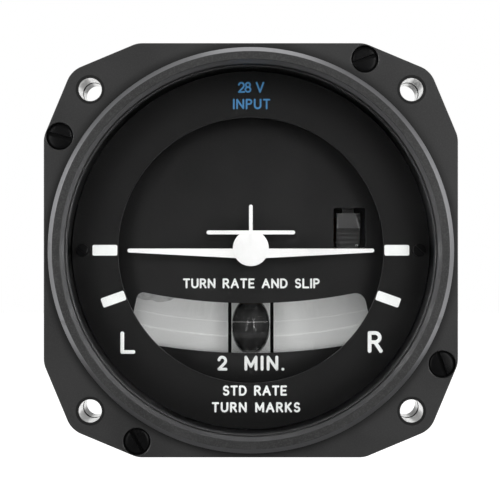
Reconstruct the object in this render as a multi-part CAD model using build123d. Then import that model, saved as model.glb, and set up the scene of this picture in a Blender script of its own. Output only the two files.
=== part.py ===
from build123d import *
import math
import os

# An aircraft turn coordinator for a 3-1/8 inch panel hole, in millimetres.
# The origin is the centre of the flange's front face. The dial looks along -Y, +X is to its
# right and +Z is up, so every depth behind the flange face is a positive y.

# Round spigot of the bezel, which fills the panel's hole, and the sight opening in it
ring_r = 39.6
ring_proud = 2.5
ring_chamfer = 1.15
ring_band = 1.5
lip_slope = 0.55
lip_bevel_depth = 1.9
lip_back_y = 1.0
lip_r = ring_r - ring_chamfer - ring_band - lip_slope

# Cover glass behind the lip, with its gasket and retaining ring
glass_lap = 1.1
glass_fit = 0.15
glass_t = 2.8
gasket_t = 0.4
gasket_w = 0.9
retainer_t = 1.9
retainer_w = 0.9
retainer_gap = 0.3
glass_r = lip_r + glass_lap
glass_y = lip_back_y + gasket_t
retainer_y = glass_y + glass_t

# Square flange round the spigot, with the panel's four holes
flange_margin = 0.9
hole_r = 2.25
hole_web = 2.585
corner_round = 5.0
corner_clear = 0.1
corner_cut = 22.7
case_flange_t = 4.6
bezel_flange_t = retainer_y + retainer_t + retainer_gap
flange_half = ring_r + flange_margin
hole_half = (ring_r + hole_r + hole_web) / math.sqrt(2)

# Bezel screws, sunk in counterbores between the spigot and the flange's edge
bezel_head_r = 2.5
bezel_head_t = 1.9
bezel_shank_r = 1.4
bezel_slot_turns = (-20, 15, 60, 70)
head_gap = 0.18
shank_gap = 0.1
counterbore_depth = 2.2
screw_edge = 0.42
screw_web = 1.26
screw_end_gap = 0.6
slot_w = 0.8
counterbore_r = bezel_head_r + head_gap
bezel_screw_z = flange_half - counterbore_r - screw_edge
bezel_screw_x = math.sqrt((ring_r + counterbore_r + screw_web) ** 2 - bezel_screw_z ** 2)

# Small screws of the inside
small_screw_r = 1.0
small_head_r = 1.9
small_head_t = 1.3
small_screw_len = 5.0

# Mask, the outer ring of the dial, with the opening that the miniature aircraft shows in
mask_back_gap = 0.3
mask_clear = 0.7
mask_t = 0.8
mask_w = 9.2
mask_head_r = 1.25
mask_head_t = 0.7
mask_slot_turn = 40
pillar_r = 2.1
pillar_inset = 0.04
mask_y = bezel_flange_t + mask_back_gap
mask_r = glass_r - retainer_w - mask_clear
mask_open_r = mask_r - mask_w
mask_screw_x = mask_r - pillar_r - pillar_inset

# Recessed dial plate
dial_depth = 4.5
dial_t = 1.0
dial_clear = 0.66
dial_screw_edge = 1.8
dial_head_r = 1.4
dial_head_t = 0.8
dial_post_r = 2.0
upper_post_angles = (52, 128)
lower_post_angles = (245, 295)
dial_y = mask_y + mask_t + dial_depth
dial_back_y = dial_y + dial_t
dial_r = mask_screw_x - pillar_r - dial_clear
dial_screw_r = dial_r - dial_screw_edge

# Inclinometer: a glass tube bent to an arc about a centre above the instrument
tube_arc_r = 115.25
tube_r = 5.8
tube_wall = 1.55
tube_gap = 0.9
tube_over = 1.2
ball_gap = 0.3
plug_deg = 1.5
slot_h = 10.3
slot_low_gap = 5.5
slot_over = 0.44
slot_corner_r = 1.3
slot_low_corner_r = 3.0
trough_gap = 0.25
trough_t = 0.6
trough_room = 0.65
marker_gap = 0.4
marker_r = 0.26
marker_over = 0.8
wire_seat = 0.02
clip_t = 0.5
clip_w = 1.6
tube_bore_r = tube_r - tube_wall
ball_r = tube_bore_r - ball_gap
marker_x = ball_r + marker_gap
slot_inner_r = tube_arc_r - slot_h / 2
slot_outer_r = tube_arc_r + slot_h / 2
tube_arc_z = slot_outer_r - (mask_open_r - slot_low_gap)
tube_y = dial_back_y + tube_gap + tube_r

# The slot's low corners, before they are rounded, stand slot_over outside the dial's rim
corner_dist = dial_r + slot_over
slot_cos = (slot_outer_r ** 2 + tube_arc_z ** 2 - corner_dist ** 2) / (2 * slot_outer_r * tube_arc_z)
slot_half_deg = math.degrees(math.acos(slot_cos))
tube_half_deg = slot_half_deg + tube_over

# Miniature aircraft, whose wings reach almost to the mask's opening
aircraft_gap = 3.3
aircraft_t = 0.7
wing_gap = 1.55
wing_top_z = 0.47
wing_root_z = -1.75
wing_root_x = 3.1
wing_tip_t = 1.1
fuselage_r = 3.83
fuselage_z = 0.59
tail_half_span = 9.1
tail_low_z = 3.12
tail_high_z = 4.16
fin_half_w = 0.47
fin_top_z = 9.48
aircraft_y = dial_y - aircraft_gap
wing_half_span = mask_open_r - wing_gap

# Case, round behind the square flange, with its front seal
case_step = 0.6
case_wall = 1.6
lug_r = 3.2
lug_inset = 3.0
mech_lug_len = 8.0
mech_lug_angles = (90, 210, 330)
cover_lug_len = 8.0
cover_lug_angles = (45, 135, 225, 315)
seal_inset = 0.8
seal_w = 1.2
seal_depth = 0.9
case_r = ring_r - case_step
case_in_r = case_r - case_wall
lug_circle_r = case_in_r - lug_inset
seal_inner_r = case_in_r + seal_inset
seal_outer_r = seal_inner_r + seal_w

# Mechanism frame: two round plates on four posts
plate_t = 2.5
plate_gap = 0.6
plate_window = (9.0, 16.0)
plate_window_corner_r = 2.5
rear_plate_gap = 1.8
frame_post_r = 2.4
post_edge = 0.39
post_screw_depth = 6.0
slide_gap = 0.6
plate_r = case_in_r - plate_gap
rear_plate_r = case_in_r - rear_plate_gap
frame_post_xz = (rear_plate_r - frame_post_r - post_edge) / math.sqrt(2)
front_plate_y = tube_y + tube_r + trough_gap + trough_t + trough_room

# Pointer shaft in its bush
shaft_r = 1.2
shaft_hub_r = 2.0
shaft_hub_t = 1.0
shaft_over = 1.0
dial_shaft_gap = 0.6
running_gap = 0.03
bush_r = 3.0
bush_nose = 8.0
bush_flange_r = 4.6
bush_flange_t = 1.2
pinion_gap = 2.3
bush_end_y = front_plate_y + plate_t + bush_flange_t

# Bevel pair between the pointer shaft and the canted gimbal, whose axis rises to the dial
cant = 30.0
gear_ratio = 3.0
pinion_r = 3.6
pinion_teeth = 18
face_w = 4.0
backlash = 0.07
tooth_root = 1.25
tooth_tip = 0.9
root_share = 0.78
tip_share = 0.27
sector_half_deg = 20.0
sector_hub_r = 3.4
pinion_y = bush_end_y + pinion_gap

# Gyro rotor with its motor
rotor_r = 17.0
rotor_half_w = 11.0
rotor_bevel = 0.8
rotor_clear = 1.2
rim_t = 3.8
web_t = 4.0
rotor_hub_r = 3.0
rotor_hub_over = 2.0
web_hole_r = 1.6
web_hole_circle_r = 8.2
web_holes = 6
rotor_shaft_r = 1.5
shaft_end_gap = 0.2
magnet_t = 1.0
magnet_len = 12.0
magnet_x = -3.0
air_gap = 0.8
stator_len = 7.0
stator_x = -2.0
stator_neck_r = 3.2
stator_bore_gap = 0.25
coil_gap = 1.2
coil_w = 4.2
coil_t = 2.8

# Gimbal frame round the rotor
bar_t = 3.2
frame_depth = 9.0
frame_corner_r = 4.0
side_clear = 3.6
side_bar_t = 3.6
side_boss_r = 6.4
cap_r = 5.6
cap_t = 1.2
pivot_r = 1.2
race_r = 3.0
race_fit = 0.6
race_w = 2.4
frame_gap = 2.814
pivot_over = 2.1
stop_reach = 9.0
stop_play_deg = 12.6
stop_r = 1.0
side_bar_x = rotor_half_w + side_clear
stator_r = rotor_r - rim_t - magnet_t - air_gap

# Bearing bosses, hairspring and viscous damper on the canted axis
boss_r = 5.0
boss_gap = 2.094
boss_len = 11.2
boss_rise = 2.916
pivot_gap = 0.4
spring_room = 4.6
collet_r = 2.6
collet_len = 2.5
collet_gap = 0.1
spring_w = 1.4
spring_t = 0.3
spring_pitch = 1.1
spring_coils = 5
spring_pin_r = 0.8
spring_pin_over = 2.6
damper_r = 8.0
damper_len = 6.0
damper_wall = 1.0
damper_gap = 0.5
damper_hub_r = 2.6
vane_t = 2.2

# Power flag, a flap hinged above its window in the dial
window_w = 6.5
window_h = 8.3
window_inset = 6.45
window_low_z = 0.4
flag_w = 4.9
flag_t = 0.6
flag_gap = 1.0
flag_back_t = 0.8
pane_h = 3.2
pane_drop = 1.0
flag_foot_drop = 0.2
flag_arm_w = 2.4
flag_eye_r = 1.2
flag_axle_r = 0.6
flag_axle_rise = 2.7
flag_axle_gap = 3.2
axle_over = 1.0
ear_t = 0.7
ear_h = 6.4
ear_gap = 1.6
coil_r = 3.2
coil_core_r = 1.2
coil_len = 5.6
coil_core_over = 0.8
coil_z = 4.6
window_x = mask_open_r - window_inset
window_high_z = window_low_z + window_h
flag_front_y = dial_back_y + flag_gap
flag_axle_y = flag_front_y + flag_axle_gap
flag_axle_z = window_high_z + flag_axle_rise

# Electronics board behind the rear plate, and its parts
board_gap = 1.154
board_t = 1.6
standoff_r = 2.3
standoff_edge = 3.6
standoff_angles = (90, 205, 335)
parts_room = 10.4
capacitor_r = 4.0
capacitor_edge = 5.5
capacitor_angles = (234, 306)
capacitor_end_gap = 0.5
choke_r = 7.0
choke_bore_r = 3.2
choke_h = 5.5
choke_edge = 4.4
choke_angle = 141
chip_edge = 12.2
chip_angle = 41
chip_size = (8.0, 2.0, 12.0)
regulator_edge = 13.5
regulator_angle = 20
regulator_size = (10.0, 4.8, 4.5)
board_r = lug_circle_r - lug_r - slide_gap
standoff_circle_r = board_r - standoff_edge

# Rear cover and power receptacle
cover_t = 3.0
cover_spigot_t = 1.5
cover_fit = 0.15
cover_bevel = 0.8
receptacle_half = 12.7
receptacle_corner_r = 1.5
receptacle_flange_t = 2.6
receptacle_hole_edge = 3.6
receptacle_head_r = 1.7
receptacle_head_t = 1.1
receptacle_r = 7.94
receptacle_wall = 1.34
receptacle_len = 13.0
insert_face = 8.5
pin_circle_r = 3.6
pin_angles = (270, 30, 150)
pin_r = 0.8
pin_len = 6.5
lead_r = 0.55
receptacle_bore = receptacle_r - receptacle_wall
receptacle_hole = receptacle_half - receptacle_hole_edge

# The canted axis, worked out from the bevel pair. A place along it is a distance s from the
# apex where it meets the pointer's axis, positive towards the dial.
cant_angle = math.radians(cant)
pinion_cone = math.atan2(math.sin(cant_angle), gear_ratio + math.cos(cant_angle))
sector_cone = cant_angle - pinion_cone
cone_len = pinion_r / math.sin(pinion_cone)
apex_y = pinion_y + cone_len * math.cos(pinion_cone)
sector_s = cone_len * math.cos(sector_cone)
sector_r = cone_len * math.sin(sector_cone)
sector_back_s = (cone_len - face_w) * math.cos(sector_cone)
frame_in = rotor_r + rotor_clear
frame_out = frame_in + bar_t
frame_front_s = sector_back_s - frame_gap
gimbal_centre_s = frame_front_s - frame_out
frame_rear_s = gimbal_centre_s - frame_out
front_boss_s = sector_s + boss_gap
rear_boss_s = frame_rear_s - spring_room
back_boss_s = rear_boss_s - boss_len
damper_end_s = back_boss_s - damper_len
rear_plate_y = apex_y - rear_boss_s * math.cos(cant_angle) + boss_rise
damper_end_y = apex_y - (damper_end_s - damper_wall) * math.cos(cant_angle)
board_y = damper_end_y + damper_r * math.sin(cant_angle) + board_gap
board_back_y = board_y + board_t
case_end_y = board_back_y + parts_room

nodes = {}


def rod(radius, y0, y1, x=0.0, z=0.0):
    """A round bar along the depth axis from y0 to y1."""
    low = (Align.CENTER, Align.CENTER, Align.MIN)
    return Pos(x, y0, z) * Rot(-90, 0, 0) * Cylinder(radius, y1 - y0, align=low)


def tube_ring(outer, inner, y0, y1, x=0.0, z=0.0):
    """A round ring along the depth axis."""
    return rod(outer, y0, y1, x, z) - rod(inner, y0, y1, x, z)


def slab(outline, y0, y1):
    """A plate of a flat outline, drawn as the dial is seen, from y0 back to y1."""
    face = Plane(origin=(0, y0, 0), x_dir=(1, 0, 0), z_dir=(0, -1, 0))
    return extrude(face * outline, amount=-(y1 - y0))


def turned(points):
    """A body turned about the depth axis from (radius, y) points."""
    outline = Polyline([(r, y, 0) for r, y in points], close=True)
    return revolve(make_face(outline), Axis.Y, 360)


def on_circle(radius, degrees):
    """The x and z of a point on a circle about the depth axis."""
    return radius * math.cos(math.radians(degrees)), radius * math.sin(math.radians(degrees))


def screw(x, z, seat_y, head_r, head_t, shank_r, length, towards=1, slot_deg=0.0):
    """A slotted screw. Its head stands on seat_y and its shank runs in the towards sense of y."""
    back = seat_y - towards * head_t
    head = rod(head_r, min(back, seat_y), max(back, seat_y), x, z)
    tip = seat_y + towards * length
    shank = rod(shank_r, min(tip, seat_y), max(tip, seat_y), x, z)
    cut = Box(3 * head_r, head_t, slot_w * head_r / bezel_head_r)
    return head + shank - Pos(x, back, z) * Rot(0, slot_deg, 0) * cut


def square_pattern(half):
    """The four corners of a square about the origin."""
    return [(sx * half, sz * half) for sx in (1, -1) for sz in (1, -1)]


def bezel_screw_places():
    """The four bezel screws, a quarter turn apart."""
    x, z = bezel_screw_x, bezel_screw_z
    return [(x, z), (-z, x), (-x, -z), (z, -x)]


canted = Plane(
    origin=(0, apex_y, 0),
    x_dir=(1, 0, 0),
    z_dir=(0, -math.cos(cant_angle), math.sin(cant_angle)),
)


def spindle(radius, s0, s1, u=0.0, v=0.0):
    """A round bar parallel to the canted axis from s0 to s1, at (u, v) across it."""
    low = (Align.CENTER, Align.CENTER, Align.MIN)
    return canted * Pos(u, v, s0) * Cylinder(radius, s1 - s0, align=low)


def flange_outline():
    """A square whose corners are cut twice at 22.5 degrees, with rounded bends."""
    h, a, slope = flange_half, bezel_screw_x - corner_clear, math.tan(math.radians(corner_cut))
    b = (h + a * slope) / (1 + slope)
    quarter = [(h, a), (b, b), (a, h)]
    points = []
    for turn in range(4):
        for x, z in quarter:
            for _ in range(turn):
                x, z = -z, x
            points.append((x, z))
    outline = make_face(Polyline(points, close=True))
    return fillet(outline.vertices(), corner_round)


def panel_holes(y0, y1):
    """The four mounting holes as cutters."""
    return [rod(hole_r, y0, y1, x, z) for x, z in square_pattern(hole_half)]


def make_bezel():
    """Cast front frame: flange, round spigot, lip, glass seat and sunk screw seats."""
    body = slab(flange_outline(), 0, bezel_flange_t)
    band_r = ring_r - ring_chamfer
    body += turned([
        (0, lip_back_y), (ring_r, lip_back_y), (ring_r, -ring_proud + ring_chamfer),
        (band_r, -ring_proud), (band_r - ring_band, -ring_proud), (0, -ring_proud),
    ])
    lip_front_y = -ring_proud + lip_bevel_depth
    seat_r = glass_r + glass_fit
    body -= turned([
        (0, -ring_proud - 1), (band_r - ring_band, -ring_proud - 1),
        (band_r - ring_band, -ring_proud), (lip_r, lip_front_y), (lip_r, lip_back_y),
        (seat_r, lip_back_y), (seat_r, bezel_flange_t + 1), (0, bezel_flange_t + 1),
    ])
    for cut in panel_holes(-1, bezel_flange_t + 1):
        body -= cut
    for x, z in bezel_screw_places():
        body -= rod(counterbore_r, -1, counterbore_depth, x, z)
        body -= rod(bezel_shank_r + shank_gap, counterbore_depth, bezel_flange_t + 1, x, z)
    return body


def make_bezel_screws():
    """Four slotted screws that draw the case flange up to the bezel."""
    length = bezel_flange_t + case_flange_t - counterbore_depth - screw_end_gap
    return [
        screw(x, z, counterbore_depth, bezel_head_r, bezel_head_t, bezel_shank_r, length, 1, turn)
        for (x, z), turn in zip(bezel_screw_places(), bezel_slot_turns)
    ]


def make_glass_group():
    """Flat cover glass, the gasket in front of it and the ring that holds both."""
    nodes["glass_gasket"] = tube_ring(glass_r, glass_r - gasket_w, lip_back_y, glass_y)
    nodes["cover_glass"] = rod(glass_r, glass_y, retainer_y)
    nodes["glass_retainer"] = tube_ring(
        glass_r, glass_r - retainer_w, retainer_y, retainer_y + retainer_t)


def make_mask_group():
    """The mask ring, its two screws and the pillars that carry it."""
    mask = tube_ring(mask_r, mask_open_r, mask_y, mask_y + mask_t)
    pillar_y = mask_y + mask_t
    screws, pillars = [], []
    for x in (-mask_screw_x, mask_screw_x):
        mask -= rod(small_screw_r, mask_y - 1, pillar_y + 1, x)
        screws.append(screw(
            x, 0, mask_y, mask_head_r, mask_head_t, small_screw_r, small_screw_len, 1, mask_slot_turn))
        pillar = rod(pillar_r, pillar_y, front_plate_y, x)
        pillars.append(pillar - rod(small_screw_r, pillar_y, mask_y + small_screw_len, x))
    nodes["dial_mask"] = mask
    nodes["mask_screws"] = screws
    nodes["mask_pillars"] = pillars


def tube_slot():
    """The smile-shaped opening in the dial. Its low corners are rounder, under the mask."""
    start, sweep = 270 - slot_half_deg, 2 * slot_half_deg
    inner = CenterArc((0, tube_arc_z), slot_inner_r, start, sweep)
    outer = CenterArc((0, tube_arc_z), slot_outer_r, start, sweep)
    sides = [Line(inner @ 0, outer @ 0), Line(inner @ 1, outer @ 1)]
    opening = make_face([inner, outer, *sides])
    by_depth = opening.vertices().sort_by(lambda v: math.hypot(v.X, v.Y - tube_arc_z))
    opening = fillet(by_depth[:2], slot_corner_r)
    by_depth = opening.vertices().sort_by(lambda v: math.hypot(v.X, v.Y - tube_arc_z))
    return fillet(by_depth[-2:], slot_low_corner_r)


def dial_post_places():
    """The x and z of the four posts that carry the dial plate."""
    angles = upper_post_angles + lower_post_angles
    return [on_circle(dial_screw_r, degrees) for degrees in angles]


def make_dial_group():
    """Recessed dial plate on four posts, with its screws hidden under the mask."""
    dial = rod(dial_r, dial_y, dial_y + dial_t)
    dial -= slab(tube_slot(), dial_y - 1, dial_back_y + 1)
    dial -= Pos(window_x, dial_y, window_low_z + window_h / 2) * Box(window_w, 4 * dial_t, window_h)
    dial -= rod(shaft_r + dial_shaft_gap, dial_y - 1, dial_back_y + 1)
    screws, posts = [], []
    for x, z in dial_post_places():
        dial -= rod(small_screw_r, dial_y - 1, dial_back_y + 1, x, z)
        screws.append(screw(x, z, dial_y, dial_head_r, dial_head_t, small_screw_r, small_screw_len))
        post = rod(dial_post_r, dial_back_y, front_plate_y, x, z)
        posts.append(post - rod(small_screw_r, dial_y, dial_y + small_screw_len, x, z))
    nodes["dial_plate"] = dial
    nodes["dial_screws"] = screws
    nodes["dial_posts"] = posts


def arc_body(section, from_deg, to_deg):
    """Turns a section of the tube, drawn at the bottom of its arc, about the arc's centre."""
    axis = Axis((0, tube_y, tube_arc_z), (0, 1, 0))
    place = Plane(origin=(0, tube_y, tube_arc_z - tube_arc_r), x_dir=(0, 1, 0), z_dir=(1, 0, 0))
    body = revolve(place * section, axis, to_deg - from_deg)
    return body.rotate(axis, from_deg)


def make_inclinometer():
    """Bent glass tube with a plug in each end, its white trough, marker wires and clips."""
    half, end = tube_half_deg, tube_half_deg - plug_deg
    nodes["inclinometer_tube"] = arc_body(Circle(tube_r) - Circle(tube_bore_r), -half, half)
    plug = Circle(tube_bore_r)
    nodes["tube_plugs"] = [arc_body(plug, -half, -end), arc_body(plug, end, half)]
    inside = tube_r + trough_gap
    front_cut = Pos(-inside, 0) * Rectangle(2 * inside, 4 * inside)
    trough = Circle(inside + trough_t) - Circle(inside) - front_cut
    nodes["tube_trough"] = arc_body(trough, -half, half)
    straps = []
    wrap = Circle(tube_r + clip_t) - Circle(tube_r)
    strap = wrap - Pos(inside, 0) * Rectangle(2 * inside, 4 * inside)
    clip_deg = math.degrees(clip_w / tube_arc_r)
    for start in (-half, half - clip_deg):
        straps.append(arc_body(strap, start, start + clip_deg))
    nodes["tube_clips"] = straps
    wires = []
    front = tube_y - tube_r - marker_r - wire_seat
    depth = slot_h + 2 * marker_over
    for x in (-marker_x, marker_x):
        low_z = tube_arc_z - slot_outer_r - marker_over
        wires.append(Pos(x, front, low_z) * Cylinder(
            marker_r, depth, align=(Align.CENTER, Align.CENTER, Align.MIN)))
    nodes["marker_wires"] = wires
    nodes["slip_ball"] = Pos(0, tube_y, tube_arc_z - tube_arc_r) * Sphere(ball_r)


def aircraft_outline():
    """The miniature aircraft seen from behind: wings, fuselage, fin and tailplane."""
    tip = wing_tip_t / 2
    span = wing_half_span - tip
    wings = make_face(Polyline([
        (-span, wing_top_z), (span, wing_top_z), (span, wing_top_z - wing_tip_t),
        (wing_root_x, wing_root_z), (-wing_root_x, wing_root_z),
        (-span, wing_top_z - wing_tip_t),
    ], close=True))
    for x in (-span, span):
        wings += Pos(x, wing_top_z - tip) * Circle(tip)
    tail_t = tail_high_z - tail_low_z
    tail = Pos(0, (tail_low_z + tail_high_z) / 2) * SlotOverall(2 * tail_half_span, tail_t)
    fin_len = fin_top_z - fuselage_z
    fin = Pos(0, fuselage_z + fin_len / 2) * Rot(0, 0, 90) * SlotOverall(fin_len, 2 * fin_half_w)
    return wings + tail + fin + Pos(0, fuselage_z) * Circle(fuselage_r)


def make_pointer():
    """The miniature aircraft on its shaft, which runs in a long bush in the front plate."""
    nodes["miniature_aircraft"] = slab(aircraft_outline(), aircraft_y, aircraft_y + aircraft_t)
    back = aircraft_y + aircraft_t
    shaft = rod(shaft_r, back, pinion_y + face_w + shaft_over)
    nodes["pointer_shaft"] = shaft + rod(shaft_hub_r, back, back + shaft_hub_t)
    bush = rod(bush_r, front_plate_y - bush_nose, bush_end_y)
    bush += rod(bush_flange_r, front_plate_y + plate_t, bush_end_y)
    nodes["pointer_bush"] = bush - rod(shaft_r + running_gap, 0, bush_end_y + 1)


def tooth_ring(pitch_r, teeth, centre_deg=0.0, only=None):
    """Flat outline of straight-flanked teeth, thinned by the backlash, and its root radius."""
    module = 2 * pitch_r / teeth
    root, tip = pitch_r - tooth_root * module, pitch_r + tooth_tip * module
    half_pitch = math.pi / teeth
    points = []
    for k in only if only is not None else range(teeth):
        mid = math.radians(centre_deg) + 2 * half_pitch * k
        for r, share in ((root, root_share), (tip, tip_share), (tip, -tip_share), (root, -root_share)):
            reach = share * half_pitch - math.copysign(backlash / pitch_r, share)
            points.append((r * math.cos(mid - reach), r * math.sin(mid - reach)))
    return points, root


def cone_teeth(points, s_big, s_small):
    """A straight bevel blank: the outline at s_big drawn in towards the apex at s_small."""
    share = s_small / s_big
    big = make_face(Polyline(points, close=True))
    small = make_face(Polyline([(share * x, share * y) for x, y in points], close=True))
    return loft([Pos(0, 0, s_big) * big, Pos(0, 0, s_small) * small], ruled=True)


def make_drive_gears():
    """Bevel sector on the gimbal, in mesh with the bevel pinion on the pointer shaft."""
    s_big = cone_len * math.cos(pinion_cone)
    s_small = (cone_len - face_w) * math.cos(pinion_cone)
    points, _ = tooth_ring(pinion_r, pinion_teeth, 90)
    upright = Plane(origin=(0, apex_y, 0), x_dir=(1, 0, 0), z_dir=(0, -1, 0))
    pinion = upright * cone_teeth(points, s_big, s_small)
    nodes["drive_pinion"] = pinion - rod(shaft_r, pinion_y - 1, pinion_y + 2 * face_w)
    sector_teeth = round(pinion_teeth * gear_ratio)
    count = int(sector_half_deg / (180 / sector_teeth)) // 2
    pitch_deg = 360 / sector_teeth
    picks = [k + 0.5 for k in range(-count, count)]
    points, root = tooth_ring(sector_r, sector_teeth, -90, picks)
    ends = math.radians(-90 + count * pitch_deg), math.radians(-90 - count * pitch_deg)
    points.append((root * math.cos(ends[0]), root * math.sin(ends[0])))
    points += [on_circle(sector_hub_r, degrees) for degrees in range(0, 181, 20)]
    points.append((root * math.cos(ends[1]), root * math.sin(ends[1])))
    sector = canted * cone_teeth(points, sector_s, sector_back_s)
    nodes["drive_sector"] = sector - spindle(pivot_r, 0, sector_s + 5)


def across(x):
    """A place on the rotor's axis, which runs along X through the gimbal's centre."""
    return canted * Pos(0, 0, gimbal_centre_s) * Rot(0, 90, 0) * Pos(0, 0, x)


def make_gimbal():
    """Gimbal frame round the rotor, with bosses for the pivots and the rotor bearings."""
    side_out = side_bar_x + side_bar_t
    outer = RectangleRounded(2 * side_out, 2 * frame_out, frame_corner_r)
    inner = RectangleRounded(2 * side_bar_x, 2 * frame_in, frame_corner_r / 2)
    lay = Plane(origin=(0, -frame_depth / 2, gimbal_centre_s), x_dir=(1, 0, 0), z_dir=(0, 1, 0))
    frame = canted * extrude(lay * (outer - inner), amount=frame_depth)
    race_out = race_r + race_fit
    for side in (-1, 1):
        boss = across(side * (side_bar_x + side_bar_t / 2))
        frame += boss * Cylinder(side_boss_r, side_bar_t)
        frame -= boss * Cylinder(race_out, side_bar_t + 2)
    for s0 in (frame_front_s - bar_t, frame_rear_s):
        frame -= spindle(pivot_r, s0 - 1, s0 + bar_t + 1)
    nodes["gimbal_frame"] = frame
    front = spindle(pivot_r, frame_front_s - bar_t, front_boss_s + race_w + pivot_over)
    rear = spindle(pivot_r, damper_end_s + damper_gap / 2, frame_rear_s + bar_t)
    nodes["gimbal_pivots"] = [front, rear]
    races, caps = [], []
    for side in (-1, 1):
        race = Cylinder(race_out, race_w) - Cylinder(rotor_shaft_r + running_gap, race_w)
        races.append(across(side * (side_bar_x + side_bar_t - race_w / 2)) * race)
        cap = across(side * (side_bar_x + side_bar_t + cap_t / 2)) * Cylinder(cap_r, cap_t)
        caps.append(cap)
    nodes["rotor_bearings"] = races
    nodes["bearing_caps"] = caps


def make_motor():
    """Stator on a hollow neck from the gimbal's side bar, with a coil at each of its ends."""
    bore_r = rotor_shaft_r + stator_bore_gap
    stator_end = stator_x - stator_len / 2
    stator_front = stator_x + stator_len / 2
    coil_out = stator_r - coil_gap
    neck_len = side_bar_x + stator_front + coil_t
    neck = across(stator_front + coil_t - neck_len / 2) * Cylinder(stator_neck_r, neck_len)
    stator = neck + across(stator_x) * Cylinder(stator_r, stator_len)
    nodes["motor_stator"] = stator - across(0) * Cylinder(bore_r, 4 * side_bar_x)
    coils = []
    for x in (stator_end - coil_t / 2, stator_front + coil_t / 2):
        ring = Cylinder(coil_out, coil_t) - Cylinder(coil_out - coil_w, coil_t)
        coils.append(across(x) * ring)
    nodes["stator_windings"] = coils


def make_rotor():
    """Brass gyro wheel with a one-sided web, its shaft and the motor magnet in its rim."""
    rim_in = rotor_r - rim_t
    web = Pos(0, 0, rotor_half_w - web_t / 2)
    wheel = Cylinder(rotor_r, 2 * rotor_half_w) - Cylinder(rim_in, 2 * rotor_half_w)
    wheel += web * Cylinder(rim_in, web_t) + web * Cylinder(rotor_hub_r, web_t + rotor_hub_over)
    wheel -= Cylinder(rotor_shaft_r, 4 * rotor_half_w)
    for k in range(web_holes):
        x, y = on_circle(web_hole_circle_r, 360 * k / web_holes)
        wheel -= Pos(x, y, rotor_half_w) * Cylinder(web_hole_r, 4 * web_t)
    rims = wheel.edges().filter_by(GeomType.CIRCLE).sort_by(SortBy.RADIUS)[-2:]
    nodes["rotor_wheel"] = across(0) * chamfer(rims, rotor_bevel)
    shaft_half = side_bar_x + side_bar_t - shaft_end_gap
    nodes["rotor_shaft"] = across(0) * Cylinder(rotor_shaft_r, 2 * shaft_half)
    magnet = Cylinder(rim_in, magnet_len) - Cylinder(rim_in - magnet_t, magnet_len)
    nodes["motor_magnet"] = across(magnet_x) * magnet


def lug_places():
    """The x and z of the lugs that carry the mechanism."""
    return [on_circle(lug_circle_r, degrees) for degrees in mech_lug_angles]


def make_front_plate():
    """Front plate with the canted boss for the gimbal's front bearing and one cut-out."""
    back = front_plate_y + plate_t
    plate = rod(plate_r, front_plate_y, back)
    boss = spindle(boss_r, front_boss_s, front_boss_s + 2 * boss_r)
    plate += boss - rod(2 * plate_r, 0, back)
    plate -= rod(bush_r, front_plate_y - 1, back + 1)
    plate -= spindle(race_r, front_boss_s - 1, front_boss_s + race_w)
    plate -= spindle(pivot_r + pivot_gap, front_boss_s, front_boss_s + race_w + 2 * pivot_over)
    window = RectangleRounded(*plate_window, plate_window_corner_r)
    plate -= slab(Pos(-window_x, 0) * window, front_plate_y - 1, back + 1)
    for x, z in square_pattern(frame_post_xz) + lug_places():
        plate -= rod(small_screw_r, front_plate_y - 1, back + 1, x, z)
    return plate


def make_rear_plate():
    """Rear plate, notched at the case's lugs, with a canted boss through it for the rear
    bearing and the damper."""
    back = rear_plate_y + plate_t
    plate = rod(rear_plate_r, rear_plate_y, back)
    for x, z in lug_places():
        plate -= rod(lug_r + slide_gap, rear_plate_y - 1, back + 1, x, z)
    plate += spindle(boss_r, back_boss_s, rear_boss_s)
    plate -= spindle(race_r, rear_boss_s - race_w, rear_boss_s + 1)
    plate -= spindle(pivot_r + pivot_gap, back_boss_s - 1, rear_boss_s)
    plate -= spring_pin()
    for x, z in square_pattern(frame_post_xz) + standoff_places():
        plate -= rod(small_screw_r, rear_plate_y - 1, back + 1, x, z)
    return plate


def standoff_places():
    """The x and z of the posts that carry the electronics board."""
    return [on_circle(standoff_circle_r, degrees) for degrees in standoff_angles]


def spring_pin():
    """The pin in the rear plate that the hairspring's outer end is fixed to."""
    reach = collet_r + spring_coils * spring_pitch / 2 + spring_pin_over
    top = frame_rear_s - collet_gap - spring_w / 2
    return spindle(spring_pin_r, rear_boss_s - 2 * boss_rise, top, reach, 0)


def make_suspension():
    """Gimbal bearings, hairspring with its collet and pin, and the viscous damper."""
    bearings = []
    for s0 in (front_boss_s, rear_boss_s - race_w):
        race = spindle(race_r, s0, s0 + race_w)
        bearings.append(race - spindle(pivot_r + running_gap, s0 - 1, s0 + race_w + 1))
    nodes["gimbal_bearings"] = bearings
    collet_s = frame_rear_s - collet_gap
    collet = spindle(collet_r, collet_s - collet_len, collet_s)
    nodes["spring_collet"] = collet - spindle(pivot_r, collet_s - 2 * collet_len, frame_rear_s)
    nodes["centring_spring"] = make_hairspring(collet_s - collet_len / 2 - spring_w / 2)
    nodes["spring_pin"] = spring_pin()
    back, end = back_boss_s, damper_end_s
    cup = spindle(damper_r, end, back) - spindle(damper_r - damper_wall, end, back - damper_wall)
    nodes["damper_cup"] = cup - spindle(pivot_r + running_gap, end, back + 1)
    nodes["damper_lid"] = spindle(damper_r, end - damper_wall, end)
    vane_r = damper_r - damper_wall - damper_gap
    vane_low, vane_high = end + damper_gap, back - damper_wall - damper_gap
    blade = canted * Pos(0, 0, (vane_low + vane_high) / 2) * Box(2 * damper_r, vane_t, damper_len)
    vane = spindle(vane_r, vane_low, vane_high) & blade
    vane += spindle(damper_hub_r, vane_low, vane_high)
    nodes["damper_vane"] = vane - spindle(pivot_r, end - 1, back)


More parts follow.
